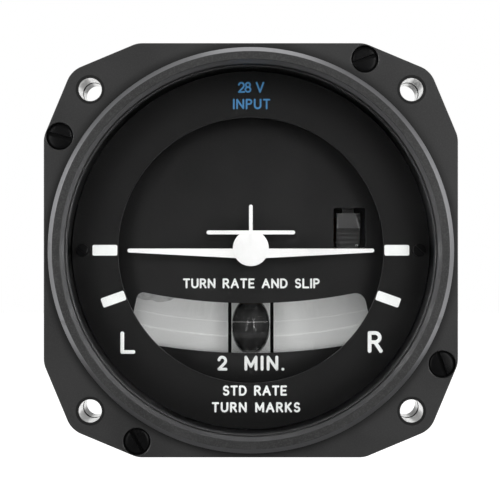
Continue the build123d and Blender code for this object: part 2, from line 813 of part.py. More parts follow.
def make_hairspring(low_s):
    """A flat spiral of half turns from the collet out to its pin."""
    radius = collet_r + spring_t
    centre, side = 0.0, 1
    arcs = []
    for _ in range(spring_coils):
        start = 0 if side > 0 else 180
        arcs.append(CenterArc((centre, 0), radius, start, 180))
        centre += -side * spring_pitch / 2
        radius += spring_pitch / 2
        side = -side
    return extrude(canted * Pos(0, 0, low_s) * trace(arcs, spring_t), amount=spring_w)


def make_frame_fittings():
    """Frame posts, their screws, the gimbal's stops and the screws into the case lugs."""
    back = front_plate_y + plate_t
    head = (small_head_r, small_head_t, small_screw_r, plate_t + small_screw_len)
    posts, screws = [], []
    for x, z in square_pattern(frame_post_xz):
        post = rod(frame_post_r, back, rear_plate_y, x, z)
        post -= rod(small_screw_r, back, back + post_screw_depth, x, z)
        post -= rod(small_screw_r, rear_plate_y - post_screw_depth, rear_plate_y, x, z)
        posts.append(post)
        screws.append(screw(x, z, front_plate_y, *head, 1))
        screws.append(screw(x, z, rear_plate_y + plate_t, *head, -1))
    nodes["frame_posts"] = posts
    nodes["frame_screws"] = screws + [
        screw(x, z, front_plate_y, *head, 1) for x, z in lug_places()]
    sector_edge = sector_r * math.sin(math.radians(sector_half_deg))
    edge_angle = math.asin(sector_edge / stop_reach) + math.asin(stop_r / stop_reach)
    angle = edge_angle + math.radians(stop_play_deg)
    stops = []
    for side in (-1, 1):
        u, v = side * stop_reach * math.sin(angle), -stop_reach * math.cos(angle)
        pin = spindle(stop_r, sector_s - face_w, sector_s + 5 * face_w, u, v)
        stops.append(pin - rod(2 * plate_r, 0, back))
    nodes["gimbal_stops"] = stops


def make_flag():
    """Power flag on its axle, the bracket behind the dial and the coil that draws it in."""
    x, back = window_x, flag_front_y + flag_t
    pane_z = window_high_z - pane_drop - pane_h / 2
    pane_top, foot_z = pane_z + pane_h / 2, window_low_z - flag_foot_drop
    arm_top = flag_axle_z + flag_eye_r
    across_x = Pos(x, flag_axle_y, flag_axle_z) * Rot(0, 90, 0)
    arm_y = back + flag_back_t / 2
    flap = Pos(x, flag_front_y + flag_t / 2, pane_z) * Box(flag_w, flag_t, pane_h)
    flap += Pos(x, arm_y, (foot_z + pane_top) / 2) * Box(flag_w, flag_back_t, pane_top - foot_z)
    flap += Pos(x, arm_y, (pane_top + arm_top) / 2) * Box(flag_arm_w, flag_back_t, arm_top - pane_top)
    flap += Pos(x, (back + flag_axle_y) / 2, flag_axle_z) * Box(
        flag_arm_w, flag_axle_y - back, 2 * flag_eye_r)
    flap += across_x * Cylinder(flag_eye_r, flag_arm_w)
    axle_len = window_w + 2 * axle_over
    axle = across_x * Cylinder(flag_axle_r, axle_len)
    nodes["power_flag"] = flap - axle
    nodes["flag_axle"] = axle
    ear_y = flag_axle_y + flag_axle_r + axle_over
    bridge = Pos(x, dial_back_y + ear_t / 2, flag_axle_z + ear_h / 2)
    bracket = bridge * Box(axle_len, ear_t, ear_h / 2)
    for side in (-1, 1):
        ear_x = x + side * (axle_len / 2 - ear_t / 2)
        bracket += Pos(ear_x, (dial_back_y + ear_y) / 2, flag_axle_z + ear_gap) * Box(
            ear_t, ear_y - dial_back_y, ear_h)
    nodes["flag_bracket"] = bracket - across_x * Cylinder(flag_axle_r + running_gap, 2 * axle_len)
    coil = rod(coil_r, front_plate_y - coil_len, front_plate_y, x, coil_z)
    core = rod(coil_core_r, front_plate_y - coil_len - coil_core_over, front_plate_y, x, coil_z)
    nodes["flag_coil"] = [coil - core, core]


def make_board():
    """Round electronics board on three posts, with its parts."""
    board = rod(board_r, board_y, board_back_y)
    posts, screws = [], []
    for x, z in standoff_places():
        board -= rod(small_screw_r, board_y - 1, board_back_y + 1, x, z)
        post = rod(standoff_r, rear_plate_y + plate_t, board_y, x, z)
        posts.append(post - rod(small_screw_r, board_back_y - small_screw_len, board_y, x, z))
        screws.append(screw(x, z, board_back_y, small_head_r, small_head_t, small_screw_r,
                            small_screw_len, -1))
    nodes["circuit_board"] = board
    nodes["board_posts"] = posts
    nodes["board_screws"] = screws


def make_board_parts():
    """Two capacitors, a ring choke and a chip behind the board, and a regulator before it."""
    tall_end = case_end_y - cover_spigot_t - capacitor_end_gap
    parts = []
    for degrees in capacitor_angles:
        x, z = on_circle(board_r - capacitor_r - capacitor_edge, degrees)
        parts.append(rod(capacitor_r, board_back_y, tall_end, x, z))
    x, z = on_circle(board_r - choke_r - choke_edge, choke_angle)
    parts.append(tube_ring(choke_r, choke_bore_r, board_back_y, board_back_y + choke_h, x, z))
    x, z = on_circle(board_r - chip_edge, chip_angle)
    parts.append(Pos(x, board_back_y + chip_size[1] / 2, z) * Box(*chip_size))
    x, z = on_circle(board_r - regulator_edge, regulator_angle)
    parts.append(Pos(x, board_y - regulator_size[1] / 2, z) * Box(*regulator_size))
    nodes["board_parts"] = parts


def lug(degrees, y0, y1):
    """A screw lug on the inside of the case wall, with its hole."""
    x, z = on_circle(lug_circle_r, degrees)
    far_x, far_z = on_circle(case_r, degrees)
    block = rod(lug_r, y0, y1, x, z) + rod(lug_r, y0, y1, far_x, far_z)
    return block - rod(small_screw_r, y0 - 1, y1 + 1, x, z)


def make_case():
    """Round case with its square front flange, seal groove and screw lugs."""
    y0, y1 = bezel_flange_t, bezel_flange_t + case_flange_t
    case = slab(flange_outline(), y0, y1)
    case += rod(case_r, y1, case_end_y)
    case -= rod(case_in_r, y0 - 1, case_end_y + 1)
    keep = rod(case_r - case_wall / 2, y0, case_end_y)
    front, end = front_plate_y + plate_t, case_end_y - cover_spigot_t
    for degrees in mech_lug_angles:
        case += lug(degrees, front, front + mech_lug_len) & keep
    for degrees in cover_lug_angles:
        case += lug(degrees, end - cover_lug_len, end) & keep
    case -= tube_ring(seal_outer_r, seal_inner_r, y0 - 1, y0 + seal_depth)
    for cut in panel_holes(y0 - 1, y1 + 1):
        case -= cut
    for x, z in bezel_screw_places():
        case -= rod(bezel_shank_r, y0 - 1, y1 + 1, x, z)
    return case


def make_rear_cover():
    """Rear cover with a spigot into the case, and its four screws."""
    y0, y1 = case_end_y, case_end_y + cover_t
    spigot_r = case_in_r - cover_fit
    cover = turned([
        (0, y0 - cover_spigot_t), (spigot_r, y0 - cover_spigot_t), (spigot_r, y0),
        (case_r, y0), (case_r, y1 - cover_bevel), (case_r - cover_bevel, y1), (0, y1),
    ])
    screws = []
    for degrees in cover_lug_angles:
        x, z = on_circle(lug_circle_r, degrees)
        cover -= rod(small_screw_r, y0 - 2 * cover_spigot_t, y1 + 1, x, z)
        screws.append(screw(x, z, y1, small_head_r, small_head_t, small_screw_r,
                            cover_t + small_screw_len, -1, degrees))
    nodes["rear_cover_screws"] = screws
    for x, z in square_pattern(receptacle_hole):
        cover -= rod(small_screw_r, y0 - 2 * cover_spigot_t, y1 + 1, x, z)
    nodes["rear_cover"] = cover - rod(receptacle_bore, y0 - 2 * cover_spigot_t, y1 + 1)


def make_receptacle():
    """Three-pin power receptacle on the rear cover, with its leads to the board."""
    base, seat = case_end_y + cover_t, case_end_y + cover_t + receptacle_flange_t
    end, back = seat + receptacle_len, case_end_y - cover_spigot_t
    square = RectangleRounded(2 * receptacle_half, 2 * receptacle_half, receptacle_corner_r)
    shell = slab(square, base, seat) + rod(receptacle_r, base, end)
    shell -= rod(receptacle_bore, base - 1, end + 1)
    screws = []
    for x, z in square_pattern(receptacle_hole):
        shell -= rod(small_screw_r, base - 1, seat + 1, x, z)
        screws.append(screw(x, z, seat, receptacle_head_r, receptacle_head_t, small_screw_r,
                            receptacle_flange_t + cover_t, -1))
    face = end - insert_face
    insert = rod(receptacle_bore, back, face)
    pins, leads = [], []
    for degrees in pin_angles:
        x, z = on_circle(pin_circle_r, degrees)
        insert -= rod(pin_r, back - 1, face + 1, x, z)
        pins.append(rod(pin_r, back, face + pin_len, x, z))
        leads.append(rod(lead_r, board_back_y, back, x, z))
    nodes["receptacle_shell"] = shell
    nodes["receptacle_screws"] = screws
    nodes["receptacle_insert"] = insert
    nodes["receptacle_pins"] = pins
    nodes["power_leads"] = leads


nodes["bezel"] = make_bezel()
nodes["bezel_screws"] = make_bezel_screws()
make_glass_group()
make_mask_group()
make_dial_group()
make_inclinometer()
make_pointer()
make_drive_gears()
make_gimbal()
make_motor()
make_rotor()
nodes["front_plate"] = make_front_plate()
nodes["rear_plate"] = make_rear_plate()
make_suspension()
make_frame_fittings()
make_flag()
make_board()
make_board_parts()
nodes["case"] = make_case()
nodes["case_seal"] = tube_ring(
    seal_outer_r, seal_inner_r, bezel_flange_t, bezel_flange_t + seal_depth)
make_rear_cover()
make_receptacle()

os.makedirs("parts", exist_ok=True)
for name, shape in nodes.items():
    pieces = shape if isinstance(shape, list) else [shape]
    solids = [solid for piece in pieces for solid in piece.solids()]
    export_step(Compound(children=solids) if len(solids) > 1 else solids[0], f"parts/{name}.step")
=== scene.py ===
import math

import bmesh
import bpy
from mathutils import Matrix, Vector


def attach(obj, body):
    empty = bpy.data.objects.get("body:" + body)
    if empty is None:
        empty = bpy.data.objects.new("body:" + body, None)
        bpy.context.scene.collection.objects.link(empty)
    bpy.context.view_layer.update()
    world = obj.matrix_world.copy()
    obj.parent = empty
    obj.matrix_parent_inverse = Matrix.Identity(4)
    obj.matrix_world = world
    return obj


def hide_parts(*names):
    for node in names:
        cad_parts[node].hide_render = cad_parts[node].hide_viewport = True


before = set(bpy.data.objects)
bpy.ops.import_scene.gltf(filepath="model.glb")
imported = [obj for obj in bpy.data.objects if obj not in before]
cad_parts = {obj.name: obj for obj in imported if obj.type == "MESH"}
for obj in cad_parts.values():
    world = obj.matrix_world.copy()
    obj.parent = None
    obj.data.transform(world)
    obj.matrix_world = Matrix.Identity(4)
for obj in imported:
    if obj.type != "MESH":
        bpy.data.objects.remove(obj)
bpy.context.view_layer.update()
scene = bpy.context.scene
scene.view_settings.view_transform = "Standard"
MM = 0.001


# Camera. It looks straight at the dial from 210 mm before the flange, a hair to the left of its
# centre, through a lens that shows just under 98 mm of the flange's plane.
camera_place = (-0.17 * MM, -210 * MM, 0.05 * MM)
camera_lens = 77.4

camera_data = bpy.data.cameras.new("camera")
camera_data.lens = camera_lens
camera_data.clip_start = 0.01
camera = bpy.data.objects.new("camera", camera_data)
camera.location = camera_place
camera.rotation_euler = (math.radians(90), 0, 0)
scene.collection.objects.link(camera)
scene.camera = camera


# Studio. The instrument hangs by its panel flange over a pale floor, in a white room, between
# two tall soft boxes, with lamps that graze its rim and a broad fill from the front. A curved
# black screen and an apron in front, and a card below, keep the room out of the glass.
floor_half, floor_z = 2.0, -0.130
floor_grey, floor_shown = 0.55, 0.80
room_diffuse = 0.36
lamps = {       # place, width, height and power
    "right_box": ((0.34, -0.56, 0.14), 0.22, 0.56, 1.62),
    "left_box": ((-0.36, -0.56, 0.08), 0.20, 0.56, 1.03),
    "right_side_lamp": ((0.55, -0.14, 0.15), 0.20, 0.30, 2.2),
    "left_side_lamp": ((-0.55, -0.14, 0.15), 0.20, 0.30, 2.0),
    "top_lamp": ((0.03, 0.09, 0.55), 0.30, 0.16, 0.25),
    "strip_lamp": ((0, -0.44, 0.145), 0.11, 0.030, 0.034),
    "front_fill": ((0.02, -0.62, 0.10), 0.30, 0.30, 0.85)}
screen_distance, screen_reach, screen_rise, screen_parts = 0.80, 70, 1.2, 32
screen_fade = 0.14
card_half, card_z, card_grey = 0.16, -0.10, 0.25
apron_half, apron_z = 0.55, -0.1274


def put(tree, kind, inputs=(), **attributes):
    """Adds a node. Its inputs, by name or in order, are values or the sockets of other nodes."""
    node = tree.nodes.new(kind)
    for key, value in attributes.items():
        setattr(node, key, value)
    for key, value in inputs.items() if isinstance(inputs, dict) else enumerate(inputs):
        if isinstance(value, bpy.types.NodeSocket):
            tree.links.new(value, node.inputs[key])
        elif value is not None:
            node.inputs[key].default_value = value
    return node


def calc(tree, operation, *values):
    """The result of one Math node."""
    return put(tree, "ShaderNodeMath", values, operation=operation).outputs[0]


def times(tree, first, second):
    """The product of two values."""
    return calc(tree, "MULTIPLY", first, second)


def seen(tree):
    """1 for the rays that show a thing: straight to the camera, by a mirror or through glass."""
    path = put(tree, "ShaderNodeLightPath").outputs
    shown = calc(tree, "MAXIMUM", path["Is Camera Ray"], path["Is Glossy Ray"])
    return calc(tree, "MAXIMUM", shown, path["Is Transmission Ray"])


def grey(value):
    """A grey as a colour."""
    return (value, value, value, 1)


def feed(tree, shader, **values):
    """Links sockets to a shader's inputs."""
    for key, value in values.items():
        tree.links.new(value, shader.inputs[key.replace("_", " ")])


def material(name, **constants):
    """A material whose constants are set on its Principled shader's own sockets."""
    made = bpy.data.materials.new(name)
    made.use_nodes = True
    shader = made.node_tree.nodes["Principled BSDF"]
    for key, value in constants.items():
        shader.inputs[key.replace("_", " ")].default_value = value
    return made, made.node_tree, shader


def place_on(tree):
    """The point's place in the instrument's own frame, in metres."""
    return put(tree, "ShaderNodeTexCoord").outputs["Object"]


def split(tree, spot):
    """The three parts of a place."""
    return put(tree, "ShaderNodeSeparateXYZ", [spot]).outputs


def lamp(name, place, width, height, power):
    """A soft lamp that points at the flange's centre."""
    data = bpy.data.lights.new(name, "AREA")
    data.shape = "RECTANGLE"
    data.size, data.size_y = width, height
    data.energy = power
    light = bpy.data.objects.new(name, data)
    light.location = place
    light.rotation_euler = Vector(place).to_track_quat("Z", "Y").to_euler()
    scene.collection.objects.link(light)
    return light


def level(front_half, back_half, front, back, z):
    """The corners of a level sheet, which may be narrower at its back."""
    return [(-front_half, front, z), (front_half, front, z), (back_half, back, z), (-back_half, back, z)]


def stage_sheet(name, finish, corners, faces=((0, 1, 2, 3),)):
    """A sheet of the studio, which isn't part of the instrument."""
    mesh = bpy.data.meshes.new(name)
    mesh.from_pydata(corners, [], faces)
    mesh.materials.append(finish)
    sheet = bpy.data.objects.new(name, mesh)
    scene.collection.objects.link(sheet)
    return sheet


fill = [lamp(name, *values) for name, values in lamps.items()][-1]
fill.visible_glossy = fill.visible_transmission = False

world = bpy.data.worlds.new("white_room")
world.use_nodes = True
scene.world = world
room = world.node_tree
room.nodes["Background"].inputs["Color"].default_value = grey(1)
feed(room, room.nodes["Background"],
     Strength=calc(room, "MULTIPLY_ADD", seen(room), 1 - room_diffuse, room_diffuse))

floor_paint, tree, shader = material(
    "floor_paint", Base_Color=grey(floor_grey), Roughness=0.9, Emission_Color=grey(1))
feed(tree, shader, Emission_Strength=times(tree, seen(tree), floor_shown))
stage_sheet("floor", floor_paint, level(floor_half, floor_half, -floor_half, floor_half, floor_z))

# The screen's two ends fade to the room's white, so that no hard edge is mirrored in the glass
black_felt, tree, shader = material(
    "black_felt", Base_Color=grey(0), Specular_IOR_Level=0.0, Emission_Color=grey(1))
end_x = screen_distance * math.sin(math.radians(screen_reach))
fade = put(tree, "ShaderNodeMapRange", {
    "Value": calc(tree, "ABSOLUTE", split(tree, place_on(tree))["X"]),
    "From Min": end_x - screen_fade, "From Max": end_x})
feed(tree, shader, Emission_Strength=fade.outputs["Result"])
grey_felt = material("grey_felt", Base_Color=grey(card_grey), Specular_IOR_Level=0.0)[0]

turns = [math.radians(screen_reach * (2 * k / screen_parts - 1)) for k in range(screen_parts + 1)]
corners = [(screen_distance * math.sin(turn), -screen_distance * math.cos(turn), z)
           for turn in turns for z in (floor_z, screen_rise)]
bays = [(2 * k, 2 * k + 1, 2 * k + 3, 2 * k + 2) for k in range(screen_parts)]
card = level(card_half, card_half, -card_half, card_half, card_z)
cloth = level(apron_half, card_half, -screen_distance, -card_half, apron_z)
for sheet in (stage_sheet("screen", black_felt, corners, bays), stage_sheet("low_card", grey_felt, card),
              stage_sheet("apron", black_felt, cloth)):
    sheet.visible_camera = sheet.visible_shadow = sheet.visible_diffuse = False


# Bezel. One aluminium casting, painted satin black: square flange, round spigot with a flat
# rough band, and a lip that slopes in to the glass. Its outer chamfer is rubbed almost bare, and
# the panel's four holes were drilled after painting, so their walls are bright. Painted shade
# darkens the flange at the ring's foot and the holes' flared mouths.
ring_r = 39.42 * MM
ring_proud = 2.5 * MM
chamfer_w = 0.97 * MM
band_w = 1.5 * MM
lip_r = 36.4 * MM
lip_front_y, lip_back_y = -0.6 * MM, 1.0 * MM
glass_seat_r, glass_seat_flare = 37.65 * MM, 0.15 * MM
flange_half = 40.5 * MM
flange_bend = 22.193 * MM
flange_corner = 35.10 * MM
flange_round = 5.0 * MM
flange_back_y = 6.4 * MM
hole_half = 31.42 * MM
hole_r = 2.25 * MM
hole_flare = 0.20 * MM
seam_flare = 0.55 * MM
screw_x, screw_z = 22.293 * MM, 37.4 * MM
counterbore_r, counterbore_depth, counterbore_flare = 2.68 * MM, 2.2 * MM, 0.12 * MM
shank_hole_r = 1.5 * MM
edge_ease, rim_ease, band_ease = 0.2 * MM, 0.15 * MM, 0.18 * MM
past = 1 * MM       # how far a cutter or an overlap reaches beyond a face
paint_colour = (0.0145, 0.0145, 0.0146, 1)
grain_colour, slope_painted_light_colour, painted_shade_colour = grey(0.034), (0.068, 0.068, 0.070, 1), grey(0.002)
ring_shade_w, slope_w = 2.2 * MM, 0.52 * MM
soft = 0.02 * MM    # half the border between two finishes
rubbed_from_y, rubbed_full_y = -1.2 * MM, -1.34 * MM
rubbed_colour = (0.155, 0.155, 0.16, 1)
bare_colour, drill_colour = (0.97, 0.97, 0.96, 1), (0.55, 0.55, 0.56, 1)


def rounded(points, radius, steps=3):
    """A closed outline with its corners rounded. A list gives each corner its own radius."""
    radii = radius if isinstance(radius, list) else [radius] * len(points)
    outline = []
    for k, (corner, r) in enumerate(zip(points, radii)):
        here = Vector(corner)
        back = (Vector(points[k - 1]) - here).normalized()
        on = (Vector(points[(k + 1) % len(points)]) - here).normalized()
        half_angle = back.angle(on) / 2
        if r <= 0:
            outline.append(tuple(here))
            continue
        centre = here + (back + on).normalized() * r / math.sin(half_angle)
        reach, sweep = r / math.tan(half_angle), math.pi - 2 * half_angle
        first, last = here + back * reach - centre, here + on * reach - centre
        for step in range(steps + 1):
            share = step / steps
            spoke = first * math.sin((1 - share) * sweep) + last * math.sin(share * sweep)
            outline.append(tuple(centre + spoke / math.sin(sweep)))
    return outline


def box(left, right, low, high):
    """The corners of an upright rectangle."""
    return [(left, low), (right, low), (right, high), (left, high)]


def oval(x, z, half_w, half_h, start=0, end=360, steps=12):
    """Points of an oval arc, its end left out where it is a full turn."""
    turns = [math.radians(start + (end - start) * k / steps) for k in range(steps + (end - start != 360))]
    return [(x + half_w * math.cos(turn), z + half_h * math.sin(turn)) for turn in turns]


def mesh_of(work, name):
    """Ends a bmesh: merges its doubles, points its faces out and returns it as a mesh."""
    bmesh.ops.remove_doubles(work, verts=work.verts, dist=2e-7)
    bmesh.ops.recalc_face_normals(work, faces=work.faces)
    mesh = bpy.data.meshes.new(name)
    work.to_mesh(mesh)
    work.free()
    return mesh


def turned(name, profile, x=0.0, z=0.0, steps=192):
    """A closed (radius, depth) profile turned about the line along the depth axis at (x, z)."""
    work = bmesh.new()
    rings = []
    for step in range(steps):
        across, up = math.cos(math.tau * step / steps), math.sin(math.tau * step / steps)
        rings.append([work.verts.new((x + r * across, y, z + r * up)) for r, y in profile])
    for here, after in zip(rings, rings[1:] + rings[:1]):
        for k in range(len(profile)):
            if profile[k - 1][0] > 0 or profile[k][0] > 0:
                work.faces.new((here[k - 1], here[k], after[k], after[k - 1]))
    return mesh_of(work, name)


def plate(name, outline, front, back, ease=0.0):
    """A flat outline in x and z, from the depth front to back, with its two rims eased."""
    work = bmesh.new()
    faces = [work.faces.new([work.verts.new((x, y, z)) for x, z in outline]) for y in (front, back)]
    rims = [edge for face in faces for edge in face.edges]
    for k in range(len(outline)):
        near, far = faces[0].verts, faces[1].verts
        work.faces.new((near[k - 1], near[k], far[k], far[k - 1]))
    bmesh.ops.recalc_face_normals(work, faces=work.faces)
    if ease:
        bmesh.ops.bevel(work, geom=rims, offset=ease, segments=2, profile=0.5, affect="EDGES",
                        clamp_overlap=False)
    return mesh_of(work, name)


def joined(name, meshes):
    """Several meshes as one."""
    work = bmesh.new()
    for mesh in meshes:
        work.from_mesh(mesh)
    mesh = bpy.data.meshes.new(name)
    work.to_mesh(mesh)
    work.free()
    return mesh


def linked(name, mesh):
    """An object for a mesh, in the scene."""
    made = bpy.data.objects.new(name, mesh)
    scene.collection.objects.link(made)
    return made


def applied(work):
    """The mesh of an object with its modifiers carried out. The object isn't kept."""
    graph = bpy.context.evaluated_depsgraph_get()
    mesh = bpy.data.meshes.new_from_object(work.evaluated_get(graph), depsgraph=graph)
    work.modifiers.clear()
    bpy.data.objects.remove(work)
    return mesh


def carved(base, cuts=(), adds=()):
    """A mesh with others joined to it and then others cut from it."""
    work = linked(base.name, base)
    tools = []
    for operation, meshes in (("UNION", adds), ("DIFFERENCE", cuts)):
        for mesh in meshes:
            tools.append(linked("cutter", mesh))
            step = work.modifiers.new("carve", "BOOLEAN")
            step.operation, step.solver, step.object = operation, "EXACT", tools[-1]
    mesh = applied(work)
    for tool in tools:
        bpy.data.objects.remove(tool)
    return mesh


def shaded(mesh, sharp=40):
    """Smooth shading whose normals lean to the larger faces, with edges over sharp degrees kept."""
    mesh.shade_smooth()
    mesh.set_sharp_from_angle(angle=math.radians(sharp))
    work = linked("shading", mesh)
    step = work.modifiers.new("weigh", "WEIGHTED_NORMAL")
    step.keep_sharp = True
    return applied(work)


def piece(name, mesh, body, slot, finish, *stands_for):
    """A finished piece that rides on a body and may stand for CAD nodes."""
    made = linked(name, mesh)
    mesh.name = name
    if finish:
        mesh.materials.clear()
        mesh.materials.append(finish)
    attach(made, body)
    if stands_for:
        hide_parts(*stands_for)
    return made


def effect(name, inputs, outputs):
    """A node group for an effect that more than one material uses. Returns its ends too."""
    group = bpy.data.node_groups.new(name, "ShaderNodeTree")
    for label, value in inputs:
        socket = group.interface.new_socket(label, in_out="INPUT", socket_type="NodeSocketFloat")
        socket.default_value = value
    for label in outputs:
        group.interface.new_socket(label, in_out="OUTPUT", socket_type="NodeSocketFloat")
    start, end = group.nodes.new("NodeGroupInput"), group.nodes.new("NodeGroupOutput")
    return group, start.outputs, end.inputs


def ramp(tree, value, low, high):
    """0 at low, 1 at high, and smooth between them."""
    node = put(tree, "ShaderNodeMapRange", {"Value": value, "From Min": low, "From Max": high},
               interpolation_type="SMOOTHSTEP")
    return node.outputs["Result"]


def noise(tree, spot, size, detail=2.0):
    """A soft random field whose spots are about size across."""
    scale = calc(tree, "DIVIDE", 1.0, size) if isinstance(size, bpy.types.NodeSocket) else 1.0 / size
    cloud = put(tree, "ShaderNodeTexNoise", {"Vector": spot, "Scale": scale, "Detail": detail})
    return cloud.outputs["Fac"]


def blend(tree, factor, first, second):
    """A colour between two colours or sockets."""
    node = put(tree, "ShaderNodeMix", {"Factor": factor}, data_type="RGBA")
    colours = [socket for socket in node.inputs if socket.type == "RGBA"]
    for socket, value in zip(colours, (first, second)):
        if isinstance(value, bpy.types.NodeSocket):
            tree.links.new(value, socket)
        else:
            socket.default_value = value
    return next(socket for socket in node.outputs if socket.type == "RGBA")


# Fine grain of a sprayed coat, and the slow drift of its tone
grain, given, result = effect(
    "paint_grain", [("Grain Size", 0.0003), ("Drift Size", 0.02)], ["Height", "Speckle", "Drift"])
spot = place_on(grain)
fine = noise(grain, spot, given["Grain Size"])
grain.links.new(fine, result["Height"])
grain.links.new(ramp(grain, fine, 0.42, 0.68), result["Speckle"])
grain.links.new(ramp(grain, noise(grain, spot, given["Drift Size"], 3.0), 0.3, 0.7), result["Drift"])

# Wear on edges, broken up by small knocks
wear, given, result = effect("edge_wear", [("Width", 0.0002), ("Patch Size", 0.002)], ["Wear"])
rounder = put(wear, "ShaderNodeBevel", {"Radius": given["Width"]}, samples=4)
true_normal = put(wear, "ShaderNodeNewGeometry").outputs["Normal"]
alike = put(wear, "ShaderNodeVectorMath", [rounder.outputs[0], true_normal], operation="DOT_PRODUCT")
edge = ramp(wear, calc(wear, "SUBTRACT", 1.0, alike.outputs["Value"]), 0.02, 0.16)
broken = ramp(wear, noise(wear, place_on(wear), given["Patch Size"], 4.0), 0.46, 0.62)
wear.links.new(times(wear, edge, broken), result["Wear"])


def use(tree, group, **values):
    """Places an effect's group in a material, with its own values."""
    node = tree.nodes.new("ShaderNodeGroup")
    node.node_tree = group
    for key, value in values.items():
        node.inputs[key.replace("_", " ")].default_value = value
    return node.outputs


def bump(tree, shader, height, depth):
    """Raises the surface by height, up to depth in metres."""
    node = put(tree, "ShaderNodeBump", {"Height": height, "Distance": depth, "Strength": 1.0})
    feed(tree, shader, Normal=node.outputs["Normal"])


def shades(colour):
    """A darker and a lighter shade of a colour."""
    return (tuple(channel * 0.80 for channel in colour[:3]) + (1,),
            tuple(min(1.0, channel * 1.2) for channel in colour[:3]) + (1,))


def painted(name, colour, worn, grain_size, grain_depth, roughness, wear_width=0.00015, patch=0.002,
            specular=0.5, worn_metal=0.8):
    """Sprayed paint with grain, a drift of tone and gloss, and edges that are worn through."""
    made, tree, shader = material(name, Specular_IOR_Level=specular)
    coat = use(tree, grain, Grain_Size=grain_size, Drift_Size=0.018)
    dark, light = shades(colour)
    tone = blend(tree, coat["Drift"], dark, light)
    tone = blend(tree, times(tree, coat["Speckle"], 0.35), tone, light)
    edge = use(tree, wear, Width=wear_width, Patch_Size=patch)["Wear"]
    feed(tree, shader, Base_Color=blend(tree, edge, tone, worn), Metallic=times(tree, edge, worn_metal),
         Roughness=calc(tree, "MULTIPLY_ADD", coat["Drift"], 0.08, roughness - 0.04))
    bump(tree, shader, coat["Height"], grain_depth)
    return made, tree, shader


def radius_of(tree, spot, x=0.0, z=0.0):
    """Distance from the lines along the depth axis at (x, z) and its mirror images, and depth."""
    parts = split(tree, spot)
    off_x = calc(tree, "SUBTRACT", calc(tree, "ABSOLUTE", parts["X"]), x)
    off_z = calc(tree, "SUBTRACT", calc(tree, "ABSOLUTE", parts["Z"]), z)
    square = calc(tree, "ADD", times(tree, off_x, off_x), times(tree, off_z, off_z))
    return calc(tree, "SQRT", square), parts["Y"]


def between(tree, value, low, high, fade):
    """1 where low < value < high, with borders that fade."""
    above = ramp(tree, value, low - fade, low + fade)
    return calc(tree, "SUBTRACT", above, ramp(tree, value, high - fade, high + fade))


def laid_over(tree, shader, mask, **values):
    """Lays another finish over a material where mask is 1."""
    for key, value in values.items():
        socket = shader.inputs[key.replace("_", " ")]
        old = socket.links[0].from_socket
        if socket.type == "RGBA":
            tree.links.new(blend(tree, mask, old, value), socket)
        else:
            kept = times(tree, old, calc(tree, "SUBTRACT", 1.0, mask))
            tree.links.new(calc(tree, "MULTIPLY_ADD", mask, value, kept), socket)


def bare_holes(tree, spot, shader, low_y, high_y):
    """Bright walls of the drilled panel holes from depth low_y to high_y, with the drill's rings."""
    from_hole, depth = radius_of(tree, spot, hole_half, hole_half)
    wall = calc(tree, "LESS_THAN", from_hole, hole_r + 1.5 * soft)
    wall = times(tree, wall, between(tree, depth, low_y, high_y, soft))
    rings = put(tree, "ShaderNodeTexWave", {
        "Vector": spot, "Scale": 700.0, "Distortion": 1.5, "Detail": 1.0}, bands_direction="Y")
    lit = blend(tree, times(tree, rings.outputs["Fac"], 0.10), bare_colour, drill_colour)
    # Painted shade: the holes' flared mouths, at the face and at the seam between bezel and case, are
    # painted near black
    mouth_painted_shade = calc(tree, "LESS_THAN", from_hole, hole_r + seam_flare + soft)
    laid_over(tree, shader, mouth_painted_shade, Base_Color=painted_shade_colour, Roughness=0.8)
    laid_over(tree, shader, wall, Base_Color=lit, Metallic=0.6, Roughness=0.25)


def quarter_turns(x, z):
    """A place and its three quarter turns about the dial's centre."""
    return [(x, z), (-z, x), (-x, -z), (z, -x)]


def flange_outline():
    """A square whose corners are cut twice, with rounded bends."""
    h, a, b = flange_half, flange_bend, flange_corner
    corners = [quarter_turns(x, z) for x, z in ((h, a), (b, b), (a, h))]
    return rounded([corners[k][turn] for turn in range(4) for k in range(3)], flange_round, 8)


def hole_cutters(low_y, high_y, low_flare, high_flare):
    """The four panel holes as one cutter, flared at both mouths."""
    profile = [(0, low_y - past), (hole_r + low_flare + past, low_y - past),
               (hole_r, low_y + low_flare), (hole_r, high_y - high_flare),
               (hole_r + high_flare + past, high_y + past), (0, high_y + past)]
    places = quarter_turns(hole_half, hole_half)
    return joined("holes", [turned("hole", profile, x, z, 64) for x, z in places])


def bezel_mesh():
    """Flange and spigot as one, bored for the glass, drilled and counterbored."""
    face_y, band_out = -ring_proud, ring_r - chamfer_w
    band_in, deep = band_out - band_w, lip_back_y + past
    core = band_in - 2 * past
    rim = rounded([(core, deep), (ring_r, deep), (ring_r, face_y + chamfer_w), (band_out, face_y),
                   (core, face_y)], [0, 0, rim_ease, band_ease, 0])
    bore = [(0, face_y - past), (band_in + 0.9 * MM, face_y - past), (band_in + 0.06 * MM, face_y),
            (band_in - 0.03 * MM, face_y + 0.12 * MM), (lip_r + 0.04 * MM, lip_front_y - 0.1 * MM),
            (lip_r, lip_front_y + 0.08 * MM), (lip_r, lip_back_y), (glass_seat_r, lip_back_y),
            (glass_seat_r, flange_back_y - glass_seat_flare),
            (glass_seat_r + glass_seat_flare + past, flange_back_y + past), (0, flange_back_y + past)]
    seat = [(0, -past), (counterbore_r + counterbore_flare + past, -past),
            (counterbore_r, counterbore_flare), (counterbore_r, counterbore_depth),
            (shank_hole_r, counterbore_depth), (shank_hole_r, flange_back_y + past),
            (0, flange_back_y + past)]
    seats = [turned("seat", seat, x, z, 72) for x, z in quarter_turns(screw_x, screw_z)]
    base = plate("bezel_work", flange_outline(), 0, flange_back_y, edge_ease)
    holes = hole_cutters(0, flange_back_y, hole_flare, seam_flare)
    return shaded(carved(base, [turned("bore", bore), holes, joined("seats", seats)], [turned("rim", rim)]))


